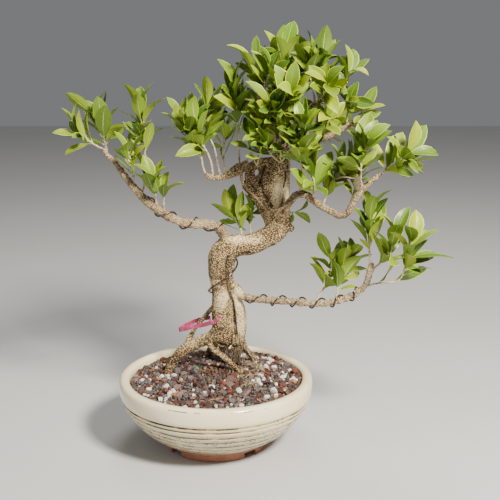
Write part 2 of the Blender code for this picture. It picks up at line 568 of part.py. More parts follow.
def pushed_clear(points, tree, distance):
    """The same route with every point at least `distance` from the wood, eased between pushes."""
    for _ in range(6):
        for i, point in enumerate(points):
            nearest, normal, _, away = tree.find_nearest(point)
            inside = (point - nearest).dot(normal) < 0
            if inside or away < distance:
                points[i] = nearest + (normal if inside else (point - nearest).normalized()) * distance
        eased = [(a + 2 * b + c) / 4 for a, b, c in zip(points, points[1:], points[2:])]
        points = [points[0]] + eased + [points[-1]]
    for i, point in enumerate(points):
        nearest, normal, _, away = tree.find_nearest(point)
        inside = (point - nearest).dot(normal) < 0
        if inside or away < distance:
            points[i] = nearest + (normal if inside else (point - nearest).normalized()) * distance
    return points


def wound(branch, start, end, turns, phase):
    """A wire's route wound round a branch between two shares of its length."""
    rows = smooth(BRANCHES[branch][1], 3.6)
    rows = rows[round(start * len(rows)): round(end * len(rows))]
    centres = [Vector(row[:3]) for row in rows]
    route = []
    for i, (row, (_, side, other)) in enumerate(zip(rows, frames_along(centres))):
        turn = phase - math.tau * turns * i / (len(rows) - 1)
        reach = row[3] + WIRE_RADIUS + GAP + 0.3
        route.append(Vector(row[:3]) + reach * (side * math.cos(turn) + other * math.sin(turn)))
    return route


def build_wire(name, route, tree, root):
    points = [Vector(row) for row in smooth([tuple(point) for point in route], WIRE_SPACING)]
    points = pushed_clear(points, tree, WIRE_RADIUS + GAP + WIRE_SLACK)
    bm = bmesh.new()
    add_tube(bm, [(*point, WIRE_RADIUS) for point in points], WIRE_SIDES)
    piece = finish(name, bm, ((0.03, 0.02, 0.02), 0.3, 1.0), root)
    round_off(piece)
    return piece


def build_tag(root):
    """A plastic strip looped round the upper root strand, its tail pulled through its own head."""
    centres = [Vector(row) for row in smooth(TAG_ROUTE, 4.5)]
    rings = []
    for i, centre in enumerate(centres):
        ahead = (centres[min(i + 1, len(centres) - 1)] - centres[max(i - 1, 0)]).normalized()
        width = (Vector((0, 0, 1)) - ahead * ahead.z).normalized()
        if i < 3:
            width = (Vector((1, 0, 0.2)) - ahead * ahead.dot(Vector((1, 0, 0.2)))).normalized()
        across = ahead.cross(width)
        taper = min(1.0, 0.3 + 0.35 * i)
        w, t = width * TAG_WIDTH / 2 * taper, across * TAG_THICKNESS / 2
        rings.append([centre + w - t, centre + w + t, centre - w + t, centre - w - t])
    bm = bmesh.new()
    add_sweep(bm, rings)
    finish("label_band", bm, ((0.55, 0.08, 0.20), 0.35), root)


# ---------------------------------------------------------------- shoots and leaves

def twig_rows(parent, route):
    """A shoot's stem as rows of (x, y, z, radius), from its branch's centre line and thinning to its tip."""
    start = Vector(route[0])
    if parent in BRANCHES:
        line = [Vector(row[:3]) for row in smooth(BRANCHES[parent][1], 1.0)]
        start = min(line, key=lambda point: (point - start).length)
    rows = smooth([tuple(start)] + route[1:], TWIG_SPACING)
    last = len(rows) - 1
    return [(*row, 1.7 - 0.8 * i / last) for i, row in enumerate(rows)]


def leaf_rings(foot, tip, up, width, arch, grow=0.0):
    """The blade's two rings and its point: each ring is the underside, one edge, the midrib, the other edge."""
    ahead = (tip - foot).normalized()
    normal = (up - ahead * up.dot(ahead)).normalized()
    side = normal.cross(ahead)
    rings = []
    for share, breadth in ((0.34, 0.80), (0.68, 0.96)):
        centre = foot.lerp(tip, share) + normal * arch * 4 * share * (1 - share)
        half = width * breadth / 2 + grow
        thick = LEAF_THICKNESS / 2 + grow
        fold = 0.13 * width * breadth
        rings.append([
            centre - normal * thick, centre + side * half + normal * fold,
            centre + normal * thick, centre - side * half + normal * fold])
    return rings, tip + ahead * grow


def blade_skin(rows, point):
    """A blade's corners, row by row and then its point, and its triangles, each patch split the shorter way."""
    corners = [corner for row in rows for corner in row] + [point]
    faces = []
    for first in range(0, 4 * (len(rows) - 1), 4):
        for k in range(4):
            a, b = first + k, first + (k + 1) % 4
            d, c = a + 4, b + 4
            if (corners[a] - corners[c]).length < (corners[b] - corners[d]).length:
                faces += [(a, b, c), (a, c, d)]
            else:
                faces += [(a, b, d), (b, c, d)]
    last = 4 * (len(rows) - 1)
    faces += [(last + k, last + (k + 1) % 4, len(corners) - 1) for k in range(4)]
    return corners, faces


def blade_tree(rows, point):
    return BVHTree.FromPolygons(*blade_skin(rows, point))


def best_start(corners, ring):
    """The ring's corners, begun at the one that twists least from the face it grows from."""
    def twist(shift):
        return sum((a - ring[(k + shift) % 4]).length for k, a in enumerate(corners))
    shift = min(range(4), key=twist)
    return [ring[(k + shift) % 4] for k in range(4)]


def crosses_stem(stem, seat_face, rows, point):
    """Whether a blade on this seat would pass through its own stem or through itself."""
    corners, faces = blade_skin(rows, point)
    spare = len(stem.verts)
    seat = [vert.index for vert in seat_face.verts]
    points = [vert.co.copy() for vert in stem.verts] + corners[4:]
    polygons = [[vert.index for vert in face.verts] for face in stem.faces if face is not seat_face]
    polygons += [[seat[i] if i < 4 else spare + i - 4 for i in face] for face in faces]
    tree = BVHTree.FromPolygons(points, polygons)
    return any(a < b and not set(polygons[a]) & set(polygons[b]) for a, b in tree.overlap(tree))


class Crowd:
    """What a new leaf has to stay clear of."""

    def __init__(self):
        self.members = []

    def add(self, tree, centre, reach):
        self.members.append((tree, centre, reach))

    def hits(self, tree, centre, reach, leave_out=None):
        return any(
            other is not leave_out and (there - centre).length < reach + far and tree.overlap(other)
            for other, there, far in self.members)


def grow_leaf(rng, stem, seats, tip, crowd, own_twig):
    """Find a seat on the stem and a pose for one leaf that touches nothing. Returns what to build, or None."""
    def score(seat):
        way = tip - seat.foot
        return abs(way.length - LEAF_LENGTH) / 10 + 1.6 * (1 - seat.lean.dot(way.normalized()))

    ranked = sorted(seats, key=score)[:5]
    for attempt in range(LEAF_TRIES):
        seat = ranked[attempt % len(ranked) if attempt > 6 else 0]
        loose = attempt / LEAF_TRIES
        shift = Vector((rng.uniform(-5, 5), rng.uniform(-16, 16), rng.uniform(-5, 5))) * loose
        way = tip + shift - seat.foot
        length = min(max(way.length, 0.7 * LEAF_LENGTH), 1.3 * LEAF_LENGTH)
        way.normalize()
        up = seat.ahead - way * seat.ahead.dot(way)
        up = up.normalized() if up.length > 0.2 else way.orthogonal().normalized()
        up = Matrix.Rotation(rng.uniform(-0.9, 0.9) * (0.4 + loose), 3, way) @ up
        width = length * rng.uniform(0.36, 0.48)
        arch = length * rng.uniform(-0.02, 0.10)
        if seat.out.dot(way) < LEAST_LEAN:
            continue
        end = seat.foot + way * length
        fat, fat_end = leaf_rings(seat.foot, end, up, width, arch, grow=LEAF_CLEARANCE)
        base = [corner.lerp(far, 0.35) for corner, far in zip(seat.corners, best_start(seat.corners, fat[0]))]
        centre, reach = seat.foot.lerp(end, 0.5), length * 0.62
        if crowd.hits(blade_tree([base] + fat, fat_end), centre, reach, own_twig):
            continue
        if blade_tree(fat, fat_end).overlap(own_twig):
            continue
        rings, point = leaf_rings(seat.foot, end, up, width, arch)
        first = best_start(seat.corners, rings[0])
        rows = [seat.corners, first, best_start(first, rings[1])]
        blade = blade_tree(rows, point)
        if crowd.hits(blade, centre, reach, own_twig) or crosses_stem(stem, seat.face, rows, point):
            continue
        crowd.add(blade, centre, reach)
        return seat, rows, point
    return None


class Seat:
    """A side face of a stem that a leaf can grow from."""

    def __init__(self, face, middle, ahead):
        self.face = face
        self.ahead = ahead
        self.corners = [vert.co.copy() for vert in face.verts]
        self.foot = sum(self.corners, Vector()) / 4
        self.out = (self.foot - middle).normalized()
        self.lean = (self.out + 0.5 * ahead).normalized()


def seats_on(sides, rows, clear_of_base):
    """Each free side face of a stem that a leaf can grow from, two to each ring of faces in turn."""
    seats = []
    for i, ring in enumerate(sides):
        middle = (Vector(rows[i][:3]) + Vector(rows[i + 1][:3])) / 2
        if (middle - Vector(rows[0][:3])).length < clear_of_base:
            continue
        ahead = (Vector(rows[i + 1][:3]) - Vector(rows[i][:3])).normalized()
        seats += [Seat(ring[k], middle, ahead) for k in (i % 2, i % 2 + 2)]
    return seats


def add_leaf(rng, bm, free, choice, tip, crowd, own_twig):
    """Grow a leaf towards the tip from one of the chosen seats, if it has room. Returns whether it did."""
    leaf = grow_leaf(rng, bm, choice, tip, crowd, own_twig) if choice else None
    if not leaf:
        return False
    add_blade(bm, *leaf)
    free.remove(leaf[0])
    return True


def add_blade(bm, seat, rows, point):
    """Replace a stem's side face with a leaf that grows out of its corners."""
    corners, faces = blade_skin(rows, point)
    verts = list(seat.face.verts) + [bm.verts.new(corner) for corner in corners[4:]]
    bm.faces.remove(seat.face)
    for face in faces:
        bm.faces.new([verts[i] for i in face])
    bm.verts.index_update()


def stem_shapes():
    """Every shoot's bare stem: its four-sided shape, its rows and its side faces."""
    stems = {}
    for name, (parent, route, _) in SHOOTS.items():
        bm = bmesh.new()
        rows = twig_rows(parent, route)
        sides, _ = add_tube(bm, rows, 4)
        bm.verts.index_update()
        stems[name] = (bm, rows, sides)
    return stems


def build_shoots(root, stems, cutters, wood_tree):
    """Every shoot: its stem, and leaves drawn out of the stem's side faces."""
    crowd = Crowd()
    crowd.add(wood_tree, Vector((40, 0, 200)), 1000)
    twigs = {}
    for name, (bm, rows, _) in stems.items():
        twigs[name] = BVHTree.FromBMesh(bm)
        middle = Vector(rows[len(rows) // 2][:3])
        crowd.add(twigs[name], middle, max((Vector(row[:3]) - middle).length for row in rows) + 3)
    seats = {name: seats_on(sides, rows, CLEAR_STEM) for name, (_, rows, sides) in stems.items()}
    for name, (_, _, tips) in SHOOTS.items():
        rng = random.Random(name)
        for tip in tips:
            add_leaf(rng, stems[name][0], seats[name], seats[name], Vector(tip), crowd, twigs[name])
    for name in SHOOTS:
        rng = random.Random(name + "_extra")
        extra = 0
        for seat in reversed(seats[name][:]):
            way = (seat.lean + Vector([rng.uniform(-0.4, 0.4) for _ in range(3)]) + EXTRA_LIFT).normalized()
            tip = seat.foot + way * LEAF_LENGTH * rng.uniform(0.75, 1.0)
            if extra < MOST_EXTRA_LEAVES and all(low < c < high for c, low, high in zip(tip, *EXTRA_ROOM)):
                extra += add_leaf(rng, stems[name][0], seats[name], [seat], tip, crowd, twigs[name])
    for name, (parent, _, _) in SHOOTS.items():
        shoot = finish("shoot_" + name, stems[name][0], ((0.16, 0.30, 0.04), 0.4), root)
        cut(shoot, cutters[parent])


def build_pellet(root):
    x, y, radius = -22.0, 8.0, 2.3
    bm = bmesh.new()
    place = Matrix.Translation((x, y, soil_height(x, y) + radius + 1.0))
    bmesh.ops.create_icosphere(bm, subdivisions=2, radius=radius, matrix=place)
    round_off(finish("fertiliser_pellet", bm, ((0.03, 0.35, 0.12), 0.4), root))


def centre_on_table(root):
    """Move everything so that the middle of the whole model's box is over the origin."""
    bpy.context.view_layer.update()
    graph = bpy.context.evaluated_depsgraph_get()
    low, high = Vector((1e9, 1e9)), Vector((-1e9, -1e9))
    for piece in bpy.context.scene.objects:
        if piece.type == "MESH" and not piece.hide_render:
            for vert in piece.evaluated_get(graph).data.vertices:
                low.x, low.y = min(low.x, vert.co.x), min(low.y, vert.co.y)
                high.x, high.y = max(high.x, vert.co.x), max(high.y, vert.co.y)
    root.location = (-(low.x + high.x) / 2, -(low.y + high.y) / 2, 0)


def main():
    for old in list(bpy.data.objects):
        bpy.data.objects.remove(old)
    root = bpy.data.objects.new("bonsai", None)
    bpy.context.scene.collection.objects.link(root)
    build_pot(root)
    build_drain_mesh(root)
    build_staple(root)
    trunk_cutter = build_trunk(root)
    build_soil(root, trunk_cutter)
    build_pellet(root)
    cutters = {"trunk": trunk_cutter}
    wood = [trunk_cutter.data]
    for name, (parent, points) in BRANCHES.items():
        branch, cutters[name] = build_branch(name, points, root, cutters[parent])
        wood.append(branch.data)
    stems = stem_shapes()
    tree = tree_of(wood, [stem[0] for stem in stems.values()])
    wires = [
        build_wire("wire_trunk", TRUNK_WIRE + wound("branch_right", 0.14, 0.80, 5.2, 2.0), tree, root),
        build_wire("wire_left", wound("branch_left", 0.12, 0.66, 3.2, 2.4), tree, root)]
    build_tag(root)
    build_shoots(root, stems, cutters, tree_of(wood + [wire.data for wire in wires]))
    centre_on_table(root)


main()
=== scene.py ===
"""A small ficus bonsai on its exposed roots, in a round cream pot of gravel.

Lengths are metres, or millimetres where a name or a note says so, in the frame of the CAD model.
"""

import math
import random

import bmesh
import bpy
from mathutils import Matrix, Vector, noise
from mathutils.bvhtree import BVHTree
from mathutils.kdtree import KDTree


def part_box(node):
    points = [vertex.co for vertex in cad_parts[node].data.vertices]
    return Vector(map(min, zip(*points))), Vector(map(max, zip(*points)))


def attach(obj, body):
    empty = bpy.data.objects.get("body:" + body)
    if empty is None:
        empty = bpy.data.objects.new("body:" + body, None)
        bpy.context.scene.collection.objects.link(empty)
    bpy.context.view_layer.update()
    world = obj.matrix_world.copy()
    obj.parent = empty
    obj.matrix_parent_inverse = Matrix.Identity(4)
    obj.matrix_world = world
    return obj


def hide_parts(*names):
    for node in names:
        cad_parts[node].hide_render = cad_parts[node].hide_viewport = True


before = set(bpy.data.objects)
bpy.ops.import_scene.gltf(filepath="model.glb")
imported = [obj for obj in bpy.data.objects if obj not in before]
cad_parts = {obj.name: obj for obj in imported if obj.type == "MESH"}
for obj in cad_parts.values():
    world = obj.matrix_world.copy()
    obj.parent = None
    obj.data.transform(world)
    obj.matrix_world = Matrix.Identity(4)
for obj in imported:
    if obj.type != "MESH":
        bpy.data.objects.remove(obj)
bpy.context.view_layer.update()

MM = 0.001
ops = bpy.ops
POT_LOW, POT_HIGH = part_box("pot")
AXIS = Vector(((POT_LOW.x + POT_HIGH.x) / 2, (POT_LOW.y + POT_HIGH.y) / 2, 0.0))
RIM_RADIUS = (POT_HIGH.x - POT_LOW.x) / 2
WOOD_NODES = [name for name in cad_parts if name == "trunk" or name.startswith("branch_")]
SHOOT_NODES = sorted(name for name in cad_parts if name.startswith("shoot_"))
DOWN = Vector((0, 0, -1))


def at(x, y, z):
    """A point given in millimetres from the pot's axis at its foot."""
    return AXIS + Vector((x, y, z)) * MM


# ---------------------------------------------------------------- shader maths

class Value:
    """A socket of a material, with arithmetic that adds its Math nodes."""

    def __init__(self, look, socket):
        self.look = look
        self.socket = socket

    def math(self, operation, *others):
        return self.look.add("ShaderNodeMath", {"operation": operation}, dict(enumerate((self, *others))))

    def __add__(self, other):
        return self.math("ADD", other)

    __radd__ = __add__

    def __mul__(self, other):
        return self.math("MULTIPLY", other)

    __rmul__ = __mul__

    def __sub__(self, other):
        return self.math("SUBTRACT", other)

    def __rsub__(self, other):
        return self.look.add("ShaderNodeMath", {"operation": "SUBTRACT"}, {0: other, 1: self})

    def __pow__(self, other):
        return self.math("POWER", other)

    def __lt__(self, other):
        return self.math("LESS_THAN", other)

    def __gt__(self, other):
        return self.math("GREATER_THAN", other)

    def size(self):
        return self.math("ABSOLUTE")

    def wave(self):
        return self.math("SINE")

    def both(self, other):
        return self.math("MAXIMUM", other)

    def step(self, low, high):
        """0 below low, 1 above high and a soft rise between; turned round where low is the larger."""
        turned = low > high
        ends = (high, low) if turned else (low, high)
        sockets = {0: self, 1: ends[0], 2: ends[1], 3: 1.0 if turned else 0.0, 4: 0.0 if turned else 1.0}
        return self.look.add("ShaderNodeMapRange", {"interpolation_type": "SMOOTHSTEP"}, sockets)


class Look:
    """One material's node tree."""

    def __init__(self, name, **constants):
        self.made = bpy.data.materials.new(name)
        self.made.use_nodes = True
        self.nodes = self.made.node_tree.nodes
        self.shader = self.nodes["Principled BSDF"]
        for socket, value in constants.items():
            self.shader.inputs[socket.replace("_", " ").title()].default_value = value
        self.place = self.add("ShaderNodeTexCoord", {}, {}, "Object")

    def add(self, kind, settings, sockets, output=0):
        """Add a node: its settings first, then its sockets' values or links. Returns one of its outputs."""
        node = self.nodes.new(kind)
        for setting, value in settings.items():
            if setting == "stops":
                ramp = node.color_ramp
                while len(ramp.elements) < len(value):
                    ramp.elements.new(0.5)
                for element, (position, colour) in zip(ramp.elements, value):
                    element.position = position
                    element.color = (*colour, 1.0)
            else:
                setattr(node, setting, value)
        for key, value in sockets.items():
            socket = node.inputs[key]
            if isinstance(value, Value):
                self.made.node_tree.links.new(value.socket, socket)
            else:
                socket.default_value = (*value, 1.0) if socket.type == "RGBA" else value
        return Value(self, node.outputs[output])

    def split(self, vector):
        return [self.add("ShaderNodeSeparateXYZ", {}, {0: vector}, axis) for axis in range(3)]

    def stretched(self, x, y, z):
        return self.add("ShaderNodeMapping", {}, {0: self.place, "Scale": (x, y, z)})

    def noise(self, scale, detail=2.0, rough=0.5, vector=None):
        sockets = {"Vector": vector or self.place, "Scale": scale, "Detail": detail, "Roughness": rough}
        return self.add("ShaderNodeTexNoise", {}, sockets, "Fac")

    def warped(self, scale, reach, vector):
        """The same place, moved about a little by a noise."""
        sockets = {"Vector": self.place, "Scale": scale, "Detail": 2.0}
        push = self.add("ShaderNodeTexNoise", {}, sockets, "Color")
        moved = self.add("ShaderNodeVectorMath", {"operation": "SCALE"}, {0: push, "Scale": reach})
        return self.add("ShaderNodeVectorMath", {"operation": "ADD"}, {0: vector, 1: moved})

    def cells(self, scale, vector=None, output="Distance"):
        sockets = {"Vector": vector or self.place, "Scale": scale}
        return self.add("ShaderNodeTexVoronoi", {}, sockets, output)

    def attribute(self, name):
        return self.add("ShaderNodeAttribute", {"attribute_name": name}, {}, "Fac")

    def ramp(self, value, *stops):
        return self.add("ShaderNodeValToRGB", {"stops": stops}, {0: value}, "Color")

    def mix(self, share, low, high):
        """The low colour where the share is 0, the high one where it is 1."""
        return self.add("ShaderNodeMix", {"data_type": "RGBA"}, {0: share, 6: low, 7: high}, 2)

    def ball(self, centre, radii, softness, ragged):
        """1 inside an ellipsoid about a point, 0 outside it, with a ragged soft edge."""
        shift = tuple(-c / r for c, r in zip(centre, radii))
        sockets = {0: self.place, "Location": shift, "Scale": tuple(1 / r for r in radii)}
        near = self.add("ShaderNodeMapping", {}, sockets)
        away = self.add("ShaderNodeVectorMath", {"operation": "LENGTH"}, {0: near}, "Value")
        return (away + ragged).step(1.0 + softness, 1.0 - softness)

    def finish(self, colour=None, rough=None, height=None, deep=0.001, **others):
        """Link what varies to the shader. Returns the material."""
        links = {"Base Color": colour, "Roughness": rough}
        if height is not None:
            links["Normal"] = self.add("ShaderNodeBump", {}, {"Height": height, "Distance": deep}, "Normal")
        links.update({name.replace("_", " ").title(): value for name, value in others.items()})
        for name, value in links.items():
            if value is not None:
                self.made.node_tree.links.new(value.socket, self.shader.inputs[name])
        return self.made


# ---------------------------------------------------------------- modelling helpers

def deselect():
    ops.object.select_all(action="DESELECT")


def choose(piece):
    """Make a piece the only one selected, and the active one."""
    deselect()
    piece.select_set(True)
    bpy.context.view_layer.objects.active = piece
    return piece


def new_piece(name):
    """Name the primitive that was just added."""
    piece = bpy.context.active_object
    piece.name = name
    piece.data.name = name
    return piece


def piece_of(name, mesh):
    piece = bpy.data.objects.new(name, mesh)
    bpy.context.scene.collection.objects.link(piece)
    return piece


def modify(piece, kind, **settings):
    """Give a piece a modifier and apply it."""
    choose(piece)
    modifier = piece.modifiers.new(kind.lower(), kind)
    for setting, value in settings.items():
        setattr(modifier, setting, value)
    ops.object.modifier_apply(modifier=modifier.name)
    return piece


def smooth(piece, angle=60.0):
    choose(piece)
    ops.object.shade_smooth_by_angle(angle=math.radians(angle))
    return piece


def edit(piece):
    """Go into edit mode on a piece, with all of it selected."""
    choose(piece)
    ops.object.mode_set(mode="EDIT")
    ops.mesh.select_all(action="SELECT")


def leave_edit():
    ops.object.mode_set(mode="OBJECT")


def settle(piece, look, slot, *nodes):
    """Give a finished piece its material and its body, and hide the CAD nodes that it stands for. The slot
    is not used.
    """
    piece.data.materials.clear()
    piece.data.materials.append(look)
    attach(piece, "root")
    if nodes:
        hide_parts(*nodes)
    return piece


def merged_copy(name, node):
    """A welded copy of a CAD node's mesh."""
    piece = piece_of(name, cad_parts[node].data.copy())
    edit(piece)
    ops.mesh.remove_doubles(threshold=0.01 * MM)
    leave_edit()
    return piece


def join(name, pieces):
    deselect()
    for piece in pieces:
        piece.select_set(True)
    bpy.context.view_layer.objects.active = pieces[0]
    ops.object.join()
    return new_piece(name)


def apply_place(piece):
    choose(piece)
    ops.object.transform_apply(location=True, rotation=True, scale=True)
    return piece


def remove(piece):
    bpy.data.objects.remove(piece)


def tree_of(pieces):
    points, faces = [], []
    for piece in pieces:
        first = len(points)
        points += [vert.co.copy() for vert in piece.data.vertices]
        faces += [[first + i for i in face.vertices] for face in piece.data.polygons]
    return BVHTree.FromPolygons(points, faces)


def paint(piece, name, values, domain="POINT"):
    """Store one number for each vertex, or face, for a material to read."""
    piece.data.attributes.new(name, "FLOAT", domain).data.foreach_set("value", values)


def turned(name, profile, sides):
    """A closed ring-shaped piece: a circle drawn out from ring to ring of a (radius, height) profile."""
    radius, height = profile[0]
    deselect()
    ops.mesh.primitive_circle_add(vertices=sides, radius=radius, location=AXIS + Vector((0, 0, height)))
    piece = apply_place(new_piece(name))
    edit(piece)
    for (was, low), (now, high) in zip(profile, profile[1:]):
        ops.mesh.extrude_edges_move(TRANSFORM_OT_translate={"value": (0, 0, high - low)})
        centre = AXIS + Vector((0, 0, high))
        ops.transform.resize(value=(now / was, now / was, 1), center_override=centre)
    ops.mesh.select_all(action="DESELECT")
    leave_edit()
    bm = bmesh.new()
    bm.from_mesh(piece.data)
    bm.verts.ensure_lookup_table()
    for edge in bm.edges:
        edge.select_set(edge.is_boundary)
    bm.to_mesh(piece.data)
    bm.free()
    ops.object.mode_set(mode="EDIT")
    ops.mesh.bridge_edge_loops()
    ops.mesh.select_all(action="SELECT")
    ops.mesh.normals_make_consistent(inside=False)
    leave_edit()
    return piece


def along(points, spacing):
    """Points about every `spacing` along a smooth curve through the given ones."""
    ends = [points[0], *points, points[-1]]
    found = []
    for a, b, c, d in zip(ends, ends[1:], ends[2:], ends[3:]):
        steps = max(1, round((c - b).length / spacing))
        for step in range(steps):
            t = step / steps
            found.append(
                (a * (2 * t**2 - t - t**3) + b * (2 - 5 * t**2 + 3 * t**3)
                 + c * (t + 4 * t**2 - 3 * t**3) + d * (t**3 - t**2)) / 2)
    return found + [points[-1]]


def tube(name, points, radii, sides=3):
    """A round closed tube through points, from a curve turned to mesh."""
    curve = bpy.data.curves.new(name, "CURVE")
    curve.dimensions = "3D"
    curve.bevel_depth = 1.0
    curve.bevel_resolution = sides
    curve.use_fill_caps = True
    line = curve.splines.new("POLY")
    line.points.add(len(points) - 1)
    for spot, point, radius in zip(line.points, points, radii):
        spot.co = (*point, 1.0)
        spot.radius = radius
    piece = choose(piece_of(name, curve))
    ops.object.convert(target="MESH")
    edit(piece)
    ops.mesh.remove_doubles(threshold=0.005 * MM)
    ops.mesh.normals_make_consistent(inside=False)
    leave_edit()
    return new_piece(name)


def rings_of(node, sides):
    """The centres and radii of a CAD tube's rings, walked from its end cap to its other end."""
    piece = merged_copy("measured", node)
    edit(piece)
    ops.mesh.dissolve_limited(angle_limit=math.radians(0.5))
    leave_edit()
    bm = bmesh.new()
    bm.from_mesh(piece.data)
    caps = [
        face for face in bm.faces
        if len(face.verts) == sides and all(len(vert.link_edges) < 6 for vert in face.verts)]
    caps.sort(key=lambda face: max(edge.calc_length() for edge in face.edges))
    ring = list(caps[0].verts)
    seen, rings = set(ring), []
    while len(ring) == sides:
        centre = sum((vert.co for vert in ring), Vector()) / sides
        rings.append((centre, sum((vert.co - centre).length for vert in ring) / sides))
        others = dict.fromkeys(edge.other_vert(vert) for vert in ring for edge in vert.link_edges)
        ring = [other for other in others if other not in seen]
        seen.update(ring)
    bm.free()
    remove(piece)
    return rings


# ---------------------------------------------------------------- pot

RIM_PROFILE = [
    (97.3, 68.0), (97.6, 74.0), (98.0, 78.0), (98.8, 79.6), (100.4, 80.8), (102.6, 81.4), (104.8, 81.4),
    (106.8, 80.9), (108.4, 79.8), (109.4, 78.2), (109.9, 76.0), (110.0, 72.5), (109.9, 69.0),
    (109.6, 65.5), (109.1, 63.0), (108.3, 61.2), (107.2, 60.2), (106.3, 59.8), (106.1, 59.2)]
BOWL_LINE = [
    (106.8, 58.4), (105.0, 52.6), (101.0, 45.0), (95.0, 36.8), (88.0, 28.8), (80.0, 21.6), (71.0, 15.4),
    (62.6, 11.0)]
THROWING_GROOVES = [54.5, 47.0, 40.2, 33.0, 25.8, 19.6, 14.2]
FOOT_PROFILE = [
    (59.6, 9.6), (58.9, 8.4), (58.7, 6.0), (58.7, 3.0), (58.6, 0.8), (57.9, 0.0), (50.8, 0.0), (50.1, 0.7),
    (50.0, 4.0), (49.6, 7.4), (48.4, 8.0), (30.0, 8.0), (13.2, 8.0), (12.3, 8.5), (12.0, 9.6), (12.0, 12.6),
    (12.3, 13.6), (13.2, 14.0), (30.0, 14.3), (60.0, 15.4), (72.0, 21.0), (84.0, 31.6), (92.5, 43.6),
    (96.2, 54.0), (97.0, 60.0)]


WALL_TOP, WALL_FOOT = 59.5, 9.5  # heights in mm between which the wall is ridged
NOTCH_TURNS = (42.0, 132.0)
NOTCH = (0.24, 0.017, 0.013)  # length right across the foot, width and height of the cutter, in metres
POT_SIDES = 112


def ridge(z):
    """How far the wall stands proud between two throwing grooves, at a height in millimetres."""
    marks = [WALL_TOP, *THROWING_GROOVES, WALL_FOOT]
    for top, bottom in zip(marks, marks[1:]):
        if bottom <= z <= top:
            share = (z - bottom) / (top - bottom)
            return 1.25 * math.sin(math.pi * share**1.25) ** 0.55 - 0.45
    return 0.0


def build_pot():
    bowl = []
    for point in along([Vector((r, z, 0)) for r, z in BOWL_LINE], 0.9):
        bowl.append((point.x + ridge(point.y) * min(1.0, (point.y - WALL_FOOT) / 8), point.y))
    profile = [(r * MM, z * MM) for r, z in RIM_PROFILE + bowl + FOOT_PROFILE]
    pot = turned("glazed_pot", profile, POT_SIDES)
    for turn in NOTCH_TURNS:
        deselect()
        ops.mesh.primitive_cube_add(size=1, location=AXIS, scale=NOTCH)
        cutter = new_piece("foot_notch")
        edit(cutter)
        ops.mesh.bevel(offset=0.0018, segments=3, affect="EDGES")
        leave_edit()
        cutter.rotation_euler.z = math.radians(turn)
        apply_place(cutter)
        modify(pot, "BOOLEAN", operation="DIFFERENCE", solver="EXACT", object=cutter)
        remove(cutter)
    for vert in pot.data.vertices:
        out = (vert.co - AXIS) * Vector((1, 1, 0))
        lumps = noise.noise(vert.co * 22) * 0.5 + noise.noise(vert.co * Vector((60, 60, 190))) * 0.16
        vert.co += out.normalized() * lumps * MM if vert.co.z > 0.009 and out.length > 0.02 else Vector()
    settle(smooth(pot, 40), glaze_look(), "glaze", "pot")


def glaze_look():
    look = Look("cream_glaze", coat_roughness=0.12)
    x, y, z = look.split(look.place)
    from_x, from_y = x - AXIS.x, y - AXIS.y
    radius = (from_x * from_x + from_y * from_y) ** 0.5
    cloud = look.noise(18.0, 4.0, 0.6)
    fine = look.noise(900.0, 2.0)
    bands = look.noise(1.0, 3.0, 0.6, look.stretched(7.0, 7.0, 330.0))
    # painted shade: the wall is painted darker towards its foot, for the shade that falls on the lower wall
    shaded_low_wall = z.step(0.050, 0.012)
    glaze = look.mix(cloud.step(0.35, 0.7), (0.68, 0.56, 0.31), (0.78, 0.67, 0.41))
    glaze = look.mix(shaded_low_wall * 0.7, glaze, (0.42, 0.35, 0.20))
    glaze = look.mix(bands.step(0.48, 0.70) * 0.45, glaze, (0.47, 0.385, 0.235))
    # the rim is painted lighter than the wall: partly the glaze's own tone, partly painted light on the
    # rim's top that faces the lamp
    rim = look.mix(cloud.step(0.35, 0.7), (0.84, 0.725, 0.44), (0.90, 0.805, 0.55))
    glaze = look.mix(z.step(0.0595, 0.0625), glaze, rim)
    # painted shade: dark broken lines along the throwing grooves, for the shade that falls in them
    grooves = None
    for mark in (*THROWING_GROOVES, 59.4):
        wander = (look.noise(14.0 + mark / 9, 2.0) - 0.5) * 0.0016
        line = (z + wander - mark * MM).size().step(0.00130, 0.00045)
        grooves = line if grooves is None else grooves.both(line)
    broken = look.noise(48.0, 4.0, 0.75).step(0.40, 0.56)
    outside = radius.step(0.0585, 0.0605)
    grooves = grooves * (broken * 0.8 + 0.2) * outside * z.step(0.0100, 0.0125)
    glaze = look.mix(grooves * 0.92, glaze, (0.055, 0.040, 0.022))
    # pinholes, mostly on the lower wall
    flattened = look.stretched(1.0, 1.0, 1.7)
    pits = look.cells(250.0, flattened)
    rare = look.cells(250.0, flattened, "Color")
    pits = pits.step(0.38, 0.28) * (rare > 0.32) * z.step(0.056, 0.040)
    patchy = look.noise(26.0, 2.0).step(0.38, 0.55) * 0.75 + 0.25
    glaze = look.mix(pits * patchy * outside * 0.9, glaze, (0.06, 0.045, 0.03))
    # a worn line along the rim's shoulder, at the front
    shoulder = z + (look.noise(30.0, 2.0) - 0.5) * 0.0012
    rim_line = (shoulder - 0.0786).size().step(0.0008, 0.0003) * (radius > 0.1075)
    rim_line = rim_line * from_y.step(-0.088, -0.098)
    worn = look.noise(75.0, 4.0, 0.7).step(0.47, 0.56)
    glaze = look.mix(rim_line * worn * 0.85, glaze, (0.09, 0.07, 0.05))
    # bare red clay at the foot
    edge = look.noise(45.0, 4.0, 0.65) * 0.006 + 0.0078
    clay = (z - edge).step(0.0012, -0.0002)
    under = (radius < 0.052) * (z < 0.0135)
    clay = clay.both(under)
    clay_colour = look.mix(look.noise(150.0, 4.0), (0.30, 0.115, 0.065), (0.50, 0.235, 0.15))
    colour = look.mix(clay, glaze, clay_colour)
    rough = 0.20 + clay * 0.6 + (cloud - 0.5) * 0.12 + grooves * 0.25
    height = fine * 0.05 + cloud * 0.3 - pits * patchy * 0.5 - grooves * 0.5 + look.noise(160.0) * 0.16
    return look.finish(colour, rough, height, 0.0008, coat_weight=(1 - clay) * 0.55)


# ---------------------------------------------------------------- drain mesh and staple

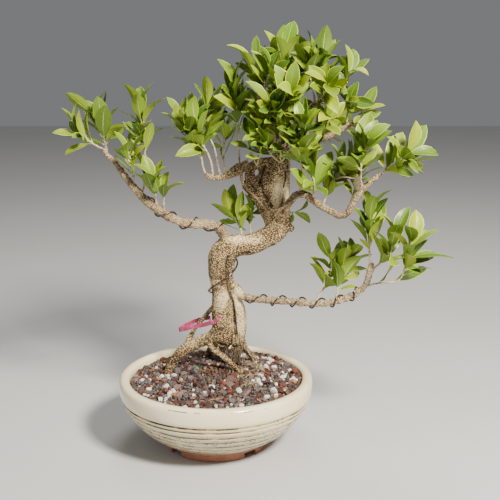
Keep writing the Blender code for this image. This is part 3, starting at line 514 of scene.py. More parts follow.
def plastic_look(name, colour, rough, scale=900.0):
    look = Look(name)
    dust = look.noise(60.0, 4.0, 0.65)
    grain = look.noise(scale, 2.0)
    dark = tuple(part * 0.7 for part in colour)
    return look.finish(look.mix(dust, dark, colour), rough + dust * 0.2, grain, 0.0002)


def dress_drain():
    """The drain mesh and its staple keep their CAD shape."""
    mesh_look = plastic_look("black_mesh_plastic", (0.03, 0.03, 0.03), 0.45)
    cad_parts["drain_mesh"].material_slots[0].material = mesh_look
    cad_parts["mesh_staple"].material_slots[0].material = copper_look()


def copper_look():
    look = Look("aged_copper_wire", metallic=1.0)
    stain = look.noise(300.0, 4.0, 0.6)
    colour = look.mix(stain.step(0.4, 0.65), (0.30, 0.14, 0.075), (0.10, 0.07, 0.045))
    return look.finish(colour, stain * 0.35 + 0.25, look.noise(1500.0), 0.0001)


# ---------------------------------------------------------------- soil and gravel

def soil_look():
    look = Look("dark_soil")
    crumbs = look.cells(420.0)
    tone = look.noise(260.0, 5.0, 0.7)
    # painted shade: the soil is painted near black, partly its own dark colour and partly the shade in the
    # gaps between the grains
    colour = look.mix(tone.step(0.3, 0.75), (0.008, 0.005, 0.004), (0.055, 0.034, 0.022))
    return look.finish(colour, tone * 0.2 + 0.75, crumbs + tone, 0.0022)


def grain_look(name, dark, light, tint, rough):
    """A stone with tinted specks, whose shade differs from grain to grain as `shade` on its faces says."""
    look = Look(name)
    shade = look.attribute("shade")
    speck = look.noise(700.0, 4.0, 0.7)
    colour = look.mix(shade, dark, light)
    colour = look.mix(speck.step(0.42, 0.70), colour, tint)
    return look.finish(colour, rough + speck * 0.15, speck, 0.0007)


STONE_ROUGHNESS = 0.16


def stone(seed):
    """A stone 2 across with two dozen faces: a cube divided, drawn to a ball and knocked about."""
    deselect()
    ops.mesh.primitive_cube_add(size=2)
    piece = new_piece(f"stone_{seed}")
    edit(piece)
    ops.mesh.subdivide(number_cuts=1)
    ops.transform.tosphere(value=0.62)
    ops.transform.resize(value=(1, 0.86, 0.9))
    leave_edit()
    rng = random.Random(seed)
    for vert in piece.data.vertices:
        vert.co *= 1 + rng.uniform(-STONE_ROUGHNESS, STONE_ROUGHNESS)
    return piece


class Patch:
    """Grid of what already lies on the ground, so that new grains find a free place."""

    def __init__(self, cell):
        self.cell = cell
        self.taken = {}

    def key(self, x, y):
        return int(x // self.cell), int(y // self.cell)

    def free(self, x, y, radius, give):
        i, j = self.key(x, y)
        return not any(
            math.hypot(x - a, y - b) < (radius + r) * give
            for di in (-1, 0, 1) for dj in (-1, 0, 1) for a, b, r in self.taken.get((i + di, j + dj), ()))

    def take(self, x, y, radius):
        self.taken.setdefault(self.key(x, y), []).append((x, y, radius))


def heap(name, masters, spots, rng):
    """Copies of the masters at (place, radius, flatness) spots, as one piece with a shade for each."""
    points, faces, shades = [], [], []
    for place, radius, flat in spots:
        master = rng.choice(masters).data
        lean = 0.35 if flat < 0.5 else math.pi  # flat chips lie down
        turn = Matrix.Rotation(rng.uniform(0, math.tau), 4, "Z")
        turn = turn @ Matrix.Rotation(rng.uniform(-lean, lean), 4, "X")
        turn = turn @ Matrix.Rotation(rng.uniform(-lean, lean), 4, "Y")
        size = Vector((rng.uniform(0.85, 1.2), rng.uniform(0.75, 1.05), flat)) * radius
        first, shade = len(points), rng.random()
        points += [place + turn @ (vert.co * size) for vert in master.vertices]
        faces += [[first + i for i in face.vertices] for face in master.polygons]
        shades += [shade] * len(master.polygons)
    mesh = bpy.data.meshes.new(name)
    mesh.from_pydata(points, [], faces)
    piece = piece_of(name, mesh)
    paint(piece, "shade", shades, "FACE")
    return smooth(piece, 38)


# least and greatest radius in mm, flatness, then each kind's share of the large grains, the small ones and
# those at the roots
GRAINS = {
    "pumice": (1.5, 3.1, 0.8, 0.12, 0.035, 0.02),
    "red_lava": (1.6, 3.5, 0.8, 0.17, 0.14, 0.13),
    "grey_stone": (1.6, 3.6, 0.72, 0.30, 0.42, 0.28),
    "bark_chip": (2.2, 5.2, 0.34, 0.33, 0.10, 0.02),
    "brown_clay": (1.2, 2.4, 0.9, 0.05, 0.25, 0.45),
    "tan_clay": (1.2, 2.2, 0.9, 0.02, 0.05, 0.10)}
LARGE, SMALL, AT_ROOTS = 3, 4, 5  # where in those rows the shares stand

# each kind's name as a material, its darkest and lightest grain, its specks and its roughness
GRAIN_COLOURS = {
    "pumice": ("white_pumice", (0.60, 0.57, 0.50), (0.88, 0.86, 0.80), (0.36, 0.32, 0.27), 0.85),
    "red_lava": ("red_lava", (0.050, 0.014, 0.010), (0.20, 0.050, 0.027), (0.035, 0.012, 0.010), 0.75),
    "grey_stone": ("grey_stone", (0.005, 0.004, 0.004), (0.060, 0.050, 0.050), (0.24, 0.20, 0.19), 0.5),
    "bark_chip": ("pine_bark", (0.040, 0.020, 0.017), (0.30, 0.185, 0.160), (0.025, 0.014, 0.012), 0.7),
    "brown_clay": ("brown_clay", (0.010, 0.005, 0.003), (0.11, 0.042, 0.020), (0.20, 0.11, 0.055), 0.55),
    "tan_clay": ("tan_clay", (0.16, 0.080, 0.028), (0.50, 0.33, 0.15), (0.08, 0.04, 0.02), 0.7)}

LARGE_TRIES, SMALL_TRIES = 2600, 34000
WALL_AT_SOIL = 13.2 * MM  # how far in from the rim's outside the gravel ends


def build_ground(wood, bed):
    """The gravel: large grains first, then small ones in what is left, thick round the roots."""
    rng = random.Random(7)
    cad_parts["soil"].material_slots[0].material = soil_look()
    patch = Patch(0.013)
    spots = {kind: [] for kind in GRAINS}
    middle = at(6, 8, 0)

    def drop(kind, radius, flat, give, clear_of_roots):
        reach = (RIM_RADIUS - WALL_AT_SOIL - radius * 0.8) * math.sqrt(rng.random())
        turn = rng.uniform(0, math.tau)
        x, y = AXIS.x + reach * math.cos(turn), AXIS.y + reach * math.sin(turn)
        if (Vector((x, y, 0)) - middle).length < clear_of_roots * rng.uniform(0.7, 1.1):
            return
        if not patch.free(x, y, radius, give):
            return
        ground, _, _, _ = bed.ray_cast(Vector((x, y, 0.2)), DOWN)
        if ground is None or wood.find_nearest(ground)[3] < radius * 0.9:
            return
        patch.take(x, y, radius)
        spots[kind].append((ground + Vector((0, 0, radius * flat * rng.uniform(0.1, 0.8))), radius, flat))

    def any_kind(column):
        return rng.choices(list(GRAINS), [facts[column] for facts in GRAINS.values()])[0]

    for _ in range(LARGE_TRIES):
        kind = any_kind(LARGE)
        least, greatest, flat = GRAINS[kind][:3]
        radius = (least + (greatest - least) * rng.random() ** 1.6) * 1.1 * MM
        drop(kind, radius, flat, 0.93, (56 if kind == "pumice" else 34) * MM)
    for _ in range(SMALL_TRIES):
        near_roots = rng.random() < 0.4
        kind = any_kind(AT_ROOTS if near_roots else SMALL)
        away = 0.0 if near_roots else 22 * MM
        drop(kind, rng.uniform(0.95, 1.95) * MM, max(GRAINS[kind][2], 0.5), 1.03, away)
    looks = {kind: grain_look(*facts) for kind, facts in GRAIN_COLOURS.items()}
    stones = [stone(seed) for seed in range(4)]
    for kind, places in spots.items():
        settle(heap("gravel_" + kind, stones, places, rng), looks[kind], "gravel")
    for piece in stones:
        remove(piece)


# ---------------------------------------------------------------- wood

PALENESS = {"branch_right": 1.0, "branch_left": 0.55, "branch_crown_left": 0.12, "branch_crown_right": 0.40}
USUAL_PALENESS = 0.5
# folds, rings round the branches and the skin's mesh cells, all in mm
SEAM_DEPTH, SEAM_WIDTH = 2.6, 1.7
RING_WIDTH, RING_SPACING = 0.75, 7.5
SKIN_CELL = 1.0

# folds in the front of the trunk, as (x, z) in mm from the pot's axis, and how deep each is
SEAMS = [
    ([(14, 218), (13, 202), (14, 190), (15, 178), (19, 161), (21, 137), (23, 117)], 1.0),
    ([(0, 192), (6, 191), (12, 193)], 0.3),
    ([(81, 321), (77, 300), (75, 283), (73, 270)], 0.9),
    ([(55, 318), (50, 304), (54, 288), (63, 274)], 1.0),
    ([(39, 315), (38, 304), (45, 291)], 0.8),
    ([(-18, 116), (-2, 127), (10, 131)], 0.6),
    ([(4, 112), (14, 108), (25, 108)], 0.9)]


def seam_depth(co, normal, line, deep):
    """How far a point of the bark is down in a seam, from 0 to the seam's depth."""
    if normal.y > 0.1:
        return 0.0
    spot = Vector(((co.x - AXIS.x) / MM, co.z / MM))
    away = min(
        (spot - a.lerp(b, max(0.0, min(1.0, (spot - a).dot(b - a) / (b - a).length_squared)))).length
        for a, b in zip(map(Vector, line), map(Vector, line[1:])))
    return deep * math.exp(-((away / SEAM_WIDTH) ** 2))


def build_wood():
    """Trunk and branches grown into one skin, smoothed, wrinkled and ringed."""
    parts = [merged_copy("trunk_skin", "trunk")]
    lines = []
    names = [name for name in WOOD_NODES if name != "trunk"]
    for name in names:
        rings = rings_of(name, 8)
        centres = [centre for centre, _ in rings]
        radii = [radius for _, radius in rings]
        inward = (centres[-1] - centres[-3]).normalized()
        centres.append(centres[-1] + inward * 7 * MM)
        radii.append(radii[-1])
        centres[0] -= (centres[1] - centres[0]).normalized() * 0.3 * MM
        line = along([Vector((*c, r)) for c, r in zip(centres, radii)], 2.0 * MM)
        lines.append(line)
        parts.append(tube(name + "_skin", [p.to_3d() for p in line], [p.w + 0.15 * MM for p in line]))
    wood = join("trunk_and_branches", parts)
    modify(wood, "REMESH", mode="VOXEL", voxel_size=SKIN_CELL * MM)
    modify(wood, "SMOOTH", factor=0.5, iterations=9)
    spine = KDTree(sum(len(line) for line in lines))
    facts = []  # for each point of the branches' spines: branch, length so far, radius, way back
    for number, line in enumerate(lines):
        walked = 0.0
        for i, point in enumerate(line):
            back = (line[i - 1] - point).to_3d() if i else Vector()
            walked += back.length
            spine.insert(point.to_3d(), len(facts))
            facts.append((number, walked, point.w, back.normalized()))
    spine.balance()
    trunk = tree_of([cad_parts["trunk"]])
    slim, notch, seams = [], [], []
    normals = [vert.normal.copy() for vert in wood.data.vertices]
    for vert, normal in zip(wood.data.vertices, normals):
        co = vert.co
        nearest, index, away = spine.find(co)
        number, walked, radius, back = facts[index]
        on_branch = max(0.0, min(1.0, (1.75 - away / radius) / 0.45))
        if on_branch:
            _, _, _, off_trunk = trunk.find_nearest(co)
            on_branch *= min(1.0, off_trunk / (2.5 * MM))
        slim.append(on_branch * PALENESS.get(names[number], USUAL_PALENESS))
        place = (walked - (co - nearest).dot(back)) / (RING_SPACING * MM) + number * 0.37
        wobble = 0.34 * noise.noise(Vector((number * 7.1, round(place) * 3.3, 0)))
        ring = math.exp(-(((place - round(place) + wobble) * RING_SPACING / RING_WIDTH) ** 2))
        notch.append(ring * on_branch)
        seam = max(seam_depth(co, normal, line, deep) for line, deep in SEAMS)
        seams.append(seam)
        wrinkle = noise.noise(co * Vector((110, 110, 420))) * 0.32
        lump = noise.noise(co * 75) * 0.75 + noise.noise(co * 190) * 0.3
        twigs = noise.noise(co * 280) * 0.42 + noise.noise(co * 95) * 0.50 + ring * 0.42 + 0.05
        knob = max(0.0, 0.34 - noise.voronoi(co * 105)[0][0]) * 5.0
        bark = (wrinkle + lump) * (1 - on_branch) + (twigs + knob) * on_branch
        vert.co = co + normal * (bark - seam * SEAM_DEPTH) * MM
    paint(wood, "seam", seams)
    paint(wood, "slim", slim)
    paint(wood, "notch", notch)
    return settle(smooth(wood, 180), bark_look(), "trunk_bark", *WOOD_NODES)


# thin roots over the front of the wood, as (x, z) in mm from the pot's axis, and their radius
AERIAL_ROOTS = [
    ([(34, 324), (30, 315), (30, 303), (37, 292), (48, 281), (60, 267)], 2.0),
    ([(41, 320), (37, 309), (44, 297), (53, 287)], 1.1),
    ([(78, 318), (79, 306), (75, 293), (68, 280), (61, 268)], 1.2),
    ([(98, 293), (90, 291), (78, 281), (66, 268)], 2.1),
    ([(62, 338), (64, 322), (60, 306), (63, 290), (58, 276)], 0.9),
    ([(52, 330), (47, 318), (50, 306), (44, 298)], 0.9),
    ([(6, 214), (2, 200), (-4, 188), (-6, 176)], 0.8),
    ([(18, 132), (20, 120), (18, 106), (17, 92)], 1.0),
    ([(22, 134), (24, 120), (25, 106), (27, 90)], 0.8),
    ([(27, 128), (28, 112), (31, 96), (33, 84)], 0.9),
    ([(14, 124), (13, 110), (10, 98), (11, 86)], 0.7),
    ([(34, 120), (39, 104), (48, 92), (55, 80)], 0.9)]

LARGEST_STEP = 1.2 * MM  # that an aerial root may come forward or go back between two of its points
HAIR_ROOTS = 28
STEP = 2.0  # along hair roots and straws, in mm


def aerial_root(bark, number, line, radius):
    """A root that lies on the front of the bark and hangs free where there is none behind it."""
    spots, depth = [], None
    for spot in along([at(x, 0, z) for x, z in line], 1.5 * MM):
        spot += Vector((noise.noise(spot * 90 + Vector((number, 0, 0))), 0, 0)) * 1.2 * MM
        hit, _, _, _ = bark.ray_cast(Vector((spot.x, -0.2, spot.z)), Vector((0, 1, 0)))
        reach = hit.y - radius * 0.55 * MM if hit else None
        if depth is None:
            depth = reach if hit else AXIS.y
        depth += max(-LARGEST_STEP, min(LARGEST_STEP, reach - depth)) if hit else 0.0
        spots.append(Vector((spot.x, depth, spot.z)))
    thick = [radius * MM * (0.85 + 0.3 * noise.noise(spot * 160)) for spot in spots]
    thick[0] = thick[-1] = radius * MM * 0.5
    return tube("aerial_root", spots, thick)


def build_roots(wood, ground):
    """Aerial roots laid over the bark, and hair roots lying on the gravel at the foot of the trunk."""
    bark = tree_of([wood])
    rng = random.Random(11)
    roots = [aerial_root(bark, i, line, radius) for i, (line, radius) in enumerate(AERIAL_ROOTS)]
    hairs = []
    for _ in range(HAIR_ROOTS):
        turn, reach = rng.uniform(-1.1, 0.5), rng.uniform(24, 52)
        x, y = 12 + reach * math.cos(turn), 6 + reach * math.sin(turn)
        heading, spots = rng.uniform(0, math.tau), []
        for _ in range(rng.randrange(7, 13)):
            heading += rng.uniform(-0.5, 0.5)
            x, y = x + STEP * math.cos(heading), y + STEP * math.sin(heading)
            hit, _, _, _ = ground.ray_cast(at(x, y, 140), DOWN)
            if hit:
                spots.append(hit + Vector((0, 0, rng.uniform(1.2, 2.8) * MM)))
        if len(spots) > 3:
            hairs.append(tube("hair_root", spots, [rng.uniform(0.22, 0.40) * MM] * len(spots), 1))
    roots = join("aerial_roots", roots)
    for vert in roots.data.vertices:
        vert.co += vert.normal * noise.noise(vert.co * 260) * 0.45 * MM
    paint(roots, "slim", [0.35] * len(roots.data.vertices))
    settle(smooth(roots, 60), wood.data.materials[0], "trunk_bark")
    hairs = join("hair_roots", hairs)
    paint(hairs, "fresh", [0.35] * len(hairs.data.vertices))
    settle(smooth(hairs, 60), twig_look(), "trunk_bark")


# where each straw starts, in mm from the pot's axis, its heading and its number of steps
STRAWS = [
    ((-50, -58), 0.35, 9), ((-44, -62), 1.1, 7), ((58, -46), 2.4, 8), ((-66, -12), 0.9, 6),
    ((8, -70), 2.9, 7)]


def build_straw(ground):
    """A dry straw and a few leaf stalks fallen on the gravel."""
    look = plastic_look("dry_straw", (0.55, 0.30, 0.05), 0.6, 400.0)
    pieces = []
    for (x, y), heading, steps in STRAWS:
        spots = []
        for _ in range(steps):
            heading += 0.12
            x, y = x + STEP * math.cos(heading), y + STEP * math.sin(heading)
            hit, _, _, _ = ground.ray_cast(at(x, y, 140), DOWN)
            spots.append(hit + Vector((0, 0, 2.0 * MM)))
        pieces.append(tube("straw", spots, [0.45 * MM] * steps, 1))
    settle(smooth(join("dry_straws", pieces), 60), look, "gravel")


# where the bark is painted pale, partly its own smooth pale bark and partly painted light where the lamp
# falls on it: centre and radii in mm from the pot's axis
PALE_AND_LIT_WOOD = [
    ((30, 3, 239), (17, 8, 6)), ((-3, 8, 184), (8, 12, 5.5)), ((8, 8, 168), (7, 10, 12)),
    ((27, 12, 150), (9, 12, 36)), ((70, -4, 288), (7.5, 12, 23)), ((81, 0, 280), (3.5, 12, 16))]


def bark_look():
    look = Look("fig_bark")
    slim, notch = look.attribute("slim"), look.attribute("notch")
    ragged = (look.noise(110.0, 4.0, 0.7) - 0.5) * 1.5
    # painted light: these pale balls mix the bark's own pale patches with painted light on the lit fronts
    # and tops
    pale = None
    for centre, radii in PALE_AND_LIT_WOOD:
        near = look.ball(at(*centre), [radius * MM for radius in radii], 0.55, ragged)
        pale = near if pale is None else pale.both(near)
    spread = look.warped(170.0, 0.0028, look.stretched(1.0, 1.0, 1.45))
    blobs = look.cells(500.0, spread)
    beads = look.cells(900.0, spread)
    crumble = look.noise(600.0, 4.0, 0.72, spread)
    blotch = look.noise(42.0, 3.0, 0.6)
    dots = blobs.step(0.62, 0.22) * 0.7 + beads.step(0.55, 0.2) * 0.4
    tone = dots * 0.72 + (crumble - 0.5) * 1.2 + (blotch - 0.5) * 0.8 + 0.17 + pale * 0.38
    trunk = look.ramp(
        tone, (0.0, (0.018, 0.009, 0.004)), (0.24, (0.085, 0.043, 0.015)), (0.40, (0.24, 0.145, 0.055)),
        (0.58, (0.54, 0.375, 0.165)), (0.80, (0.77, 0.615, 0.35)), (1.0, (0.86, 0.76, 0.54)))
    flecks = beads.step(0.24, 0.12) * look.noise(90.0, 2.0).step(0.42, 0.60)
    branch = look.ramp(
        crumble * 0.8 + blotch * 0.2, (0.34, (0.050, 0.027, 0.012)), (0.44, (0.23, 0.145, 0.070)),
        (0.54, (0.54, 0.41, 0.24)), (0.70, (0.82, 0.72, 0.52)))
    branch = look.mix(flecks * 0.8, branch, (0.11, 0.060, 0.030))
    branch = look.mix(notch * crumble.step(0.35, 0.6) * 0.75, branch, (0.12, 0.070, 0.036))
    colour = look.mix(slim, trunk, branch)
    # painted shade: the folds are painted near black, for the shade inside them
    colour = look.mix(look.attribute("seam") * 0.9, colour, (0.035, 0.020, 0.010))
    # painted shade: the hollow under the trunk is painted dark, for the shade that fills it
    z = look.split(look.place)[2]
    hollow_shade = look.ball(at(18, 20, 96), (18 * MM, 20 * MM, 18 * MM), 0.4, ragged * 0.5)
    colour = look.mix(hollow_shade * 0.75, colour, (0.030, 0.019, 0.012))
    green = look.noise(60.0, 3.0).step(0.56, 0.68) * z.step(0.104, 0.088) * 0.35
    colour = look.mix(green, colour, (0.13, 0.15, 0.05))
    grain = crumble * 0.7 + dots * 0.6 * (1 - pale * 0.6) + look.noise(1300.0, 2.0) * 0.2
    return look.finish(colour, 0.62 + crumble * 0.25, grain, 0.0016)


# ---------------------------------------------------------------- training wire and label band

def wire_look():
    look = Look("dark_anodised_wire", metallic=0.9)
    scuff = look.noise(420.0, 3.0, 0.6)
    colour = look.mix(scuff.step(0.45, 0.7), (0.085, 0.060, 0.052), (0.26, 0.21, 0.19))
    return look.finish(colour, 0.20 + scuff * 0.15, look.noise(900.0), 0.0001)


WIRE_SHARE = 0.80  # of the CAD wire's thickness


def build_wires():
    """Round wires on the CAD wires' own routes, a little thinner than they are."""
    look = wire_look()
    for node in ("wire_trunk", "wire_left"):
        rings = rings_of(node, 5)
        line = along([centre for centre, _ in rings], 1.6 * MM)
        wire = tube("training_" + node, line, [rings[0][1] * WIRE_SHARE] * len(line))
        settle(smooth(wire, 50), look, "training_wire", node)


TOOTH_SPACING = 1.9 * MM


def build_band():
    """The pink band, with the ribs that cross it told by how far along it they are."""
    band = merged_copy("pink_label_band", "label_band")
    edit(band)
    ops.mesh.tris_convert_to_quads(face_threshold=math.radians(60), shape_threshold=math.radians(70))
    ops.mesh.subdivide(number_cuts=1)
    leave_edit()
    modify(band, "SUBSURF", levels=2, render_levels=2)
    centres = along([centre for centre, _ in rings_of("label_band", 4)], 0.5 * MM)
    spine = KDTree(len(centres))
    for i, centre in enumerate(centres):
        spine.insert(centre, i)
    spine.balance()
    walk = [0.0]
    for a, b in zip(centres, centres[1:]):
        walk.append(walk[-1] + (b - a).length)
    paint(band, "walk", [walk[spine.find(vert.co)[1]] for vert in band.data.vertices])
    smooth(band, 40)
    look = Look("pink_plastic")
    teeth = (look.attribute("walk") * (math.tau / TOOTH_SPACING)).wave()
    smudge = look.noise(120.0, 3.0)
    colour = look.mix(smudge.step(0.35, 0.7), (0.36, 0.035, 0.105), (0.62, 0.12, 0.235))
    # painted shade: the troughs between the ribs are painted a darker pink
    colour = look.mix(teeth.step(0.2, -0.6) * 0.35, colour, (0.22, 0.02, 0.07))
    settle(band, look.finish(colour, 0.30 + smudge * 0.15, teeth * 0.5, 0.0005), "tag_plastic", "label_band")


# ---------------------------------------------------------------- shoots and leaves

STALK = 0.13  # the share of a leaf's length that is its stalk


def leaf_master():
    """A closed leaf 1 long and 2 wide: across it from -1 to 1, along it from 0 to 1, thickness in mm."""
    shares = (0.0, STALK, 0.18, 0.28, 0.43, 0.60, 0.77, 0.91, 1.0)
    deselect()
    ops.mesh.primitive_grid_add(x_subdivisions=4, y_subdivisions=8, size=2, calc_uvs=True)
    leaf = new_piece("leaf_master")
    for vert in leaf.data.vertices:
        vert.co.y = shares[round((vert.co.y + 1) * 4)]
    layer = leaf.data.uv_layers.active.data
    for loop in leaf.data.loops:
        co = leaf.data.vertices[loop.vertex_index].co
        layer[loop.index].uv = ((co.x + 1) / 2, co.y)
    paint(leaf, "under", [0.0] * len(leaf.data.polygons), "FACE")
    edit(leaf)
    ops.mesh.duplicate()
    ops.mesh.flip_normals()
    ops.transform.translate(value=(0, 0, -1))
    leave_edit()
    values = [float(leaf.data.vertices[face.vertices[0]].co.z < -0.5) for face in leaf.data.polygons]
    leaf.data.attributes["under"].data.foreach_set("value", values)
    for vert in leaf.data.vertices:
        stalk = max(0.0, 1 - vert.co.y / 0.21)
        edge = abs(vert.co.x) > 0.99 or vert.co.y > 0.999
        rib = 1 - abs(vert.co.x)
        top, bottom = 0.12 + 0.75 * stalk * rib, -0.12 - (0.35 + 0.75 * stalk) * rib**2
        vert.co.z = 0.0 if edge else (bottom if vert.co.z < -0.5 else top)
    edit(leaf)
    ops.mesh.remove_doubles(threshold=0.0001)
    leave_edit()
    return leaf


def breadth(share):
    """Half the blade's width at a share of its length, against its widest: narrow foot, blunt tip."""
    s = max(0.0, (share - STALK) / (1 - STALK))
    return math.sin(math.pi * s**1.12) ** 0.74 if s < 1 else 0.0


class Leaf:
    """Where a leaf sits: its foot and tip, which way is its side and which is up, its width and its arch."""

    def __init__(self, foot, tip, side, up, width, arch):
        self.foot, self.tip, self.side, self.up, self.width, self.arch = foot, tip, side, up, width, arch


MORE_LEAVES = 0.65  # the share of a shoot's leaves that have a smaller one beside them
FEW_MORE_LEAVES = 0.15  # the same for the open shoots at the two sides
OPEN_SHOOTS = ("shoot_left", "shoot_right")


def small_leaf(leaf, rng):
    """A smaller leaf from the same place on the twig, turned off to one side."""
    turn = Matrix.Rotation(rng.choice((-1, 1)) * rng.uniform(0.7, 1.3), 3, leaf.up)
    turn = Matrix.Rotation(rng.uniform(-0.5, 0.7), 3, leaf.side) @ turn
    ahead = turn @ (leaf.tip - leaf.foot) * rng.uniform(0.5, 0.78)
    foot = leaf.foot.lerp(leaf.tip, rng.uniform(-0.04, 0.03))
    width = leaf.width * rng.uniform(0.55, 0.75)
    return Leaf(foot, foot + ahead, turn @ leaf.side, turn @ leaf.up, width, rng.uniform(0.0, 0.08))


def leaves_of(bm):
    """The leaves of a welded CAD shoot, and the corners that they are made of."""
    found, spent = [], set()
    for point in bm.verts:
        if len(point.link_faces) != 4 or len(point.link_edges) != 4:
            continue
        ring = [edge.other_vert(point) for edge in point.link_edges]
        pairs = [(a, b) for i, a in enumerate(ring) for b in ring[i + 1:]]
        right, left = max(pairs, key=lambda pair: (pair[0].co - pair[1].co).length)
        width = (right.co - left.co).length
        middle = [vert for vert in ring if vert not in (right, left)]
        if width < 6 * MM or (middle[0].co - middle[1].co).length > 1.6 * MM:
            continue
        lower = {edge.other_vert(vert) for vert in ring for edge in vert.link_edges} - {point, *ring}
        if len(lower) != 4:
            continue
        base = {edge.other_vert(vert) for vert in lower for edge in vert.link_edges} - {*lower, *ring}
        if len(base) != 4:
            continue
        foot = sum((vert.co for vert in base), Vector()) / 4
        ahead = (point.co - foot).normalized()
        centre = (middle[0].co + middle[1].co) / 2
        side = (right.co - left.co - ahead * (right.co - left.co).dot(ahead)).normalized()
        up = side.cross(ahead)
        if up.dot((right.co + left.co) / 2 - centre) < 0:
            up, side = -up, -side
        length = (point.co - foot).length
        arch = (centre - foot.lerp(point.co, 0.68)).dot(up) / (4 * 0.68 * 0.32) / length
        found.append(Leaf(foot, point.co.copy(), side, up, width / 0.96, arch))
        spent |= {point, *ring, *lower}
    return found, spent


def grown(master, leaf, rng):
    """The master's corners bent to one leaf's place, with its own fold, droop, twist and wave."""
    ahead = leaf.tip - leaf.foot
    length = ahead.length
    ahead = ahead / length
    fold = rng.uniform(0.20, 0.62)
    curl = rng.uniform(-0.05, 0.28)
    droop = rng.uniform(-0.02, 0.10)
    twist = rng.uniform(-0.35, 0.35)
    swing = rng.uniform(-0.05, 0.05)
    wave, phase = rng.uniform(0.0, 0.09), rng.uniform(0, math.tau)
    half = leaf.width / 2 * rng.uniform(0.86, 1.06)
    corners = []
    for vert in master.data.vertices:
        across, share, thick = vert.co
        reach = max(half * breadth(share), (1.05 - share) * 0.8 * MM if share < 0.9 else 0.0)
        spine = leaf.foot + ahead * (share * (length + 2.0 * MM) - 2.0 * MM)
        rise = leaf.arch * 4 * share * (1 - share)
        rise += droop * (share * (1 - share**2) * 2.0 - share**4 * 0.55)
        spine = spine + leaf.up * rise * length
        spine = spine + leaf.side * swing * math.sin(math.pi * share) * length
        turn = twist * (share - 0.4)
        side = leaf.side * math.cos(turn) + leaf.up * math.sin(turn)
        up = leaf.up * math.cos(turn) - leaf.side * math.sin(turn)
        lift = reach * (fold * abs(across) - curl * across**2)
        lift += reach * wave * math.sin(phase + share * 9 + (2.4 if across > 0 else 0)) * across**2
        lift += thick * MM * (0.8 if share > STALK else 1)
        corners.append(spine + side * across * reach + up * lift)
    return corners


def leaf_look():
    look = Look("glossy_fig_leaf", coat_roughness=0.22)
    u, v, _ = look.split(look.add("ShaderNodeUVMap", {"uv_map": "UVMap"}, {}))
    across = ((u - 0.5) * 2).size()
    age, under, hue = look.attribute("age"), look.attribute("under"), look.attribute("hue")
    flutter = look.noise(130.0, 3.0, 0.6)
    # the spread from bright young leaves to dark old ones is partly the leaves' age and partly painted
    # light: glow where lit from behind, shade deep in the crown
    young_and_lit = look.mix(hue, (0.120, 0.250, 0.001), (0.340, 0.385, 0.001))
    old_and_shaded = look.mix(hue, (0.008, 0.044, 0.001), (0.060, 0.155, 0.001))
    blade = look.mix(age, young_and_lit, old_and_shaded)
    blade = look.mix(flutter.step(0.3, 0.75) * 0.3, blade, (0.11, 0.23, 0.002))
    veins = ((v * 12.0 - across * 1.9) * math.tau).wave().step(0.80, 0.99) * across.step(0.97, 0.70)
    blade = look.mix(veins * 0.12, blade, (0.42, 0.55, 0.13))
    rib = across.step(0.075, 0.02) * v.step(0.97, 0.70)
    stalk = v.step(0.19, 0.12)
    margin = across.step(0.89, 0.935) * v.step(0.15, 0.24)
    pale = rib.both(stalk)
    colour = look.mix(pale * 0.6, blade, (0.38, 0.49, 0.02))
    colour = look.mix(margin * 0.75, colour, (0.62, 0.68, 0.06))
    back = look.mix(0.35, blade, (0.18, 0.27, 0.01))
    back = look.mix(pale * 0.8, back, (0.60, 0.66, 0.30))
    colour = look.mix(under, colour, back)
    height = flutter * 0.35 - veins * 0.15 - rib * 0.9
    rough = 0.44 + under * 0.18 + flutter * 0.12
    return look.finish(colour, rough, height, 0.0005, coat_weight=0.10 - under * 0.10)


def twig_look():
    look = Look("green_twig")
    fresh = look.attribute("fresh")
    mottle = look.noise(500.0, 4.0, 0.7)
    rings = look.cells(300.0)
    woody = look.ramp(
        mottle, (0.28, (0.10, 0.058, 0.030)), (0.45, (0.36, 0.26, 0.145)), (0.68, (0.70, 0.60, 0.42)))
    green = look.mix(mottle.step(0.35, 0.7), (0.27, 0.31, 0.075), (0.50, 0.52, 0.20))
    colour = look.mix(fresh, woody, green)
    return look.finish(colour, 0.5 + mottle * 0.2, mottle + rings.step(0.3, 0.1) * 0.3, 0.0006)


def foliage(name, leaves, master, look, rng, *nodes):
    """One piece of leaves: the master grown to each, with an age and a hue of its own. The age also sets how
    lit or shaded the leaf is painted.
    """
    points, faces, uvs, unders, ages, hues = [], [], [], [], [], []
    source = master.data
    layer = source.uv_layers.active.data
    for leaf in leaves:
        first = len(points)
        points += grown(master, leaf, rng)
        faces += [[first + i for i in face.vertices] for face in source.polygons]
        uvs += [tuple(layer[i].uv) for face in source.polygons for i in face.loop_indices]
        unders += [item.value for item in source.attributes["under"].data]
        age, hue = rng.random() ** 1.2, rng.random()
        ages += [age] * len(source.polygons)
        hues += [hue] * len(source.polygons)
    mesh = bpy.data.meshes.new(name)
    mesh.from_pydata(points, [], faces)
    piece = piece_of(name, mesh)
    coordinates = mesh.uv_layers.new(name="UVMap")
    for item, uv in zip(coordinates.data, uvs):
        item.uv = uv
    for attribute, values in (("under", unders), ("age", ages), ("hue", hues)):
        paint(piece, attribute, values, "FACE")
    settle(smooth(piece, 70), look, "leaves", *nodes)


# twigs before the upper trunk: foot in mm from the pot's axis and radius, then their tips
INNER_TWIGS = {
    ((72, -8, 326), 0.9): [(56, -30, 346), (84, -34, 352), (70, -36, 362)],
    ((66, -4, 344), 1.0): [(48, -26, 366), (64, -34, 384), (82, -30, 380)],
    ((84, -4, 330), 0.8): [(98, -28, 340), (94, -26, 366)],
    ((46, -6, 322), 0.8): [(38, -22, 352), (50, -26, 344)]}


# how far along a twig each leaf stands, and how far it leans out
LEAF_PLACES = ((0.5, 1.15), (0.62, 1.05), (0.75, 0.95), (0.88, 0.75), (0.97, 0.5), (1.0, 0.12))
GOLDEN_TURN = 2.4


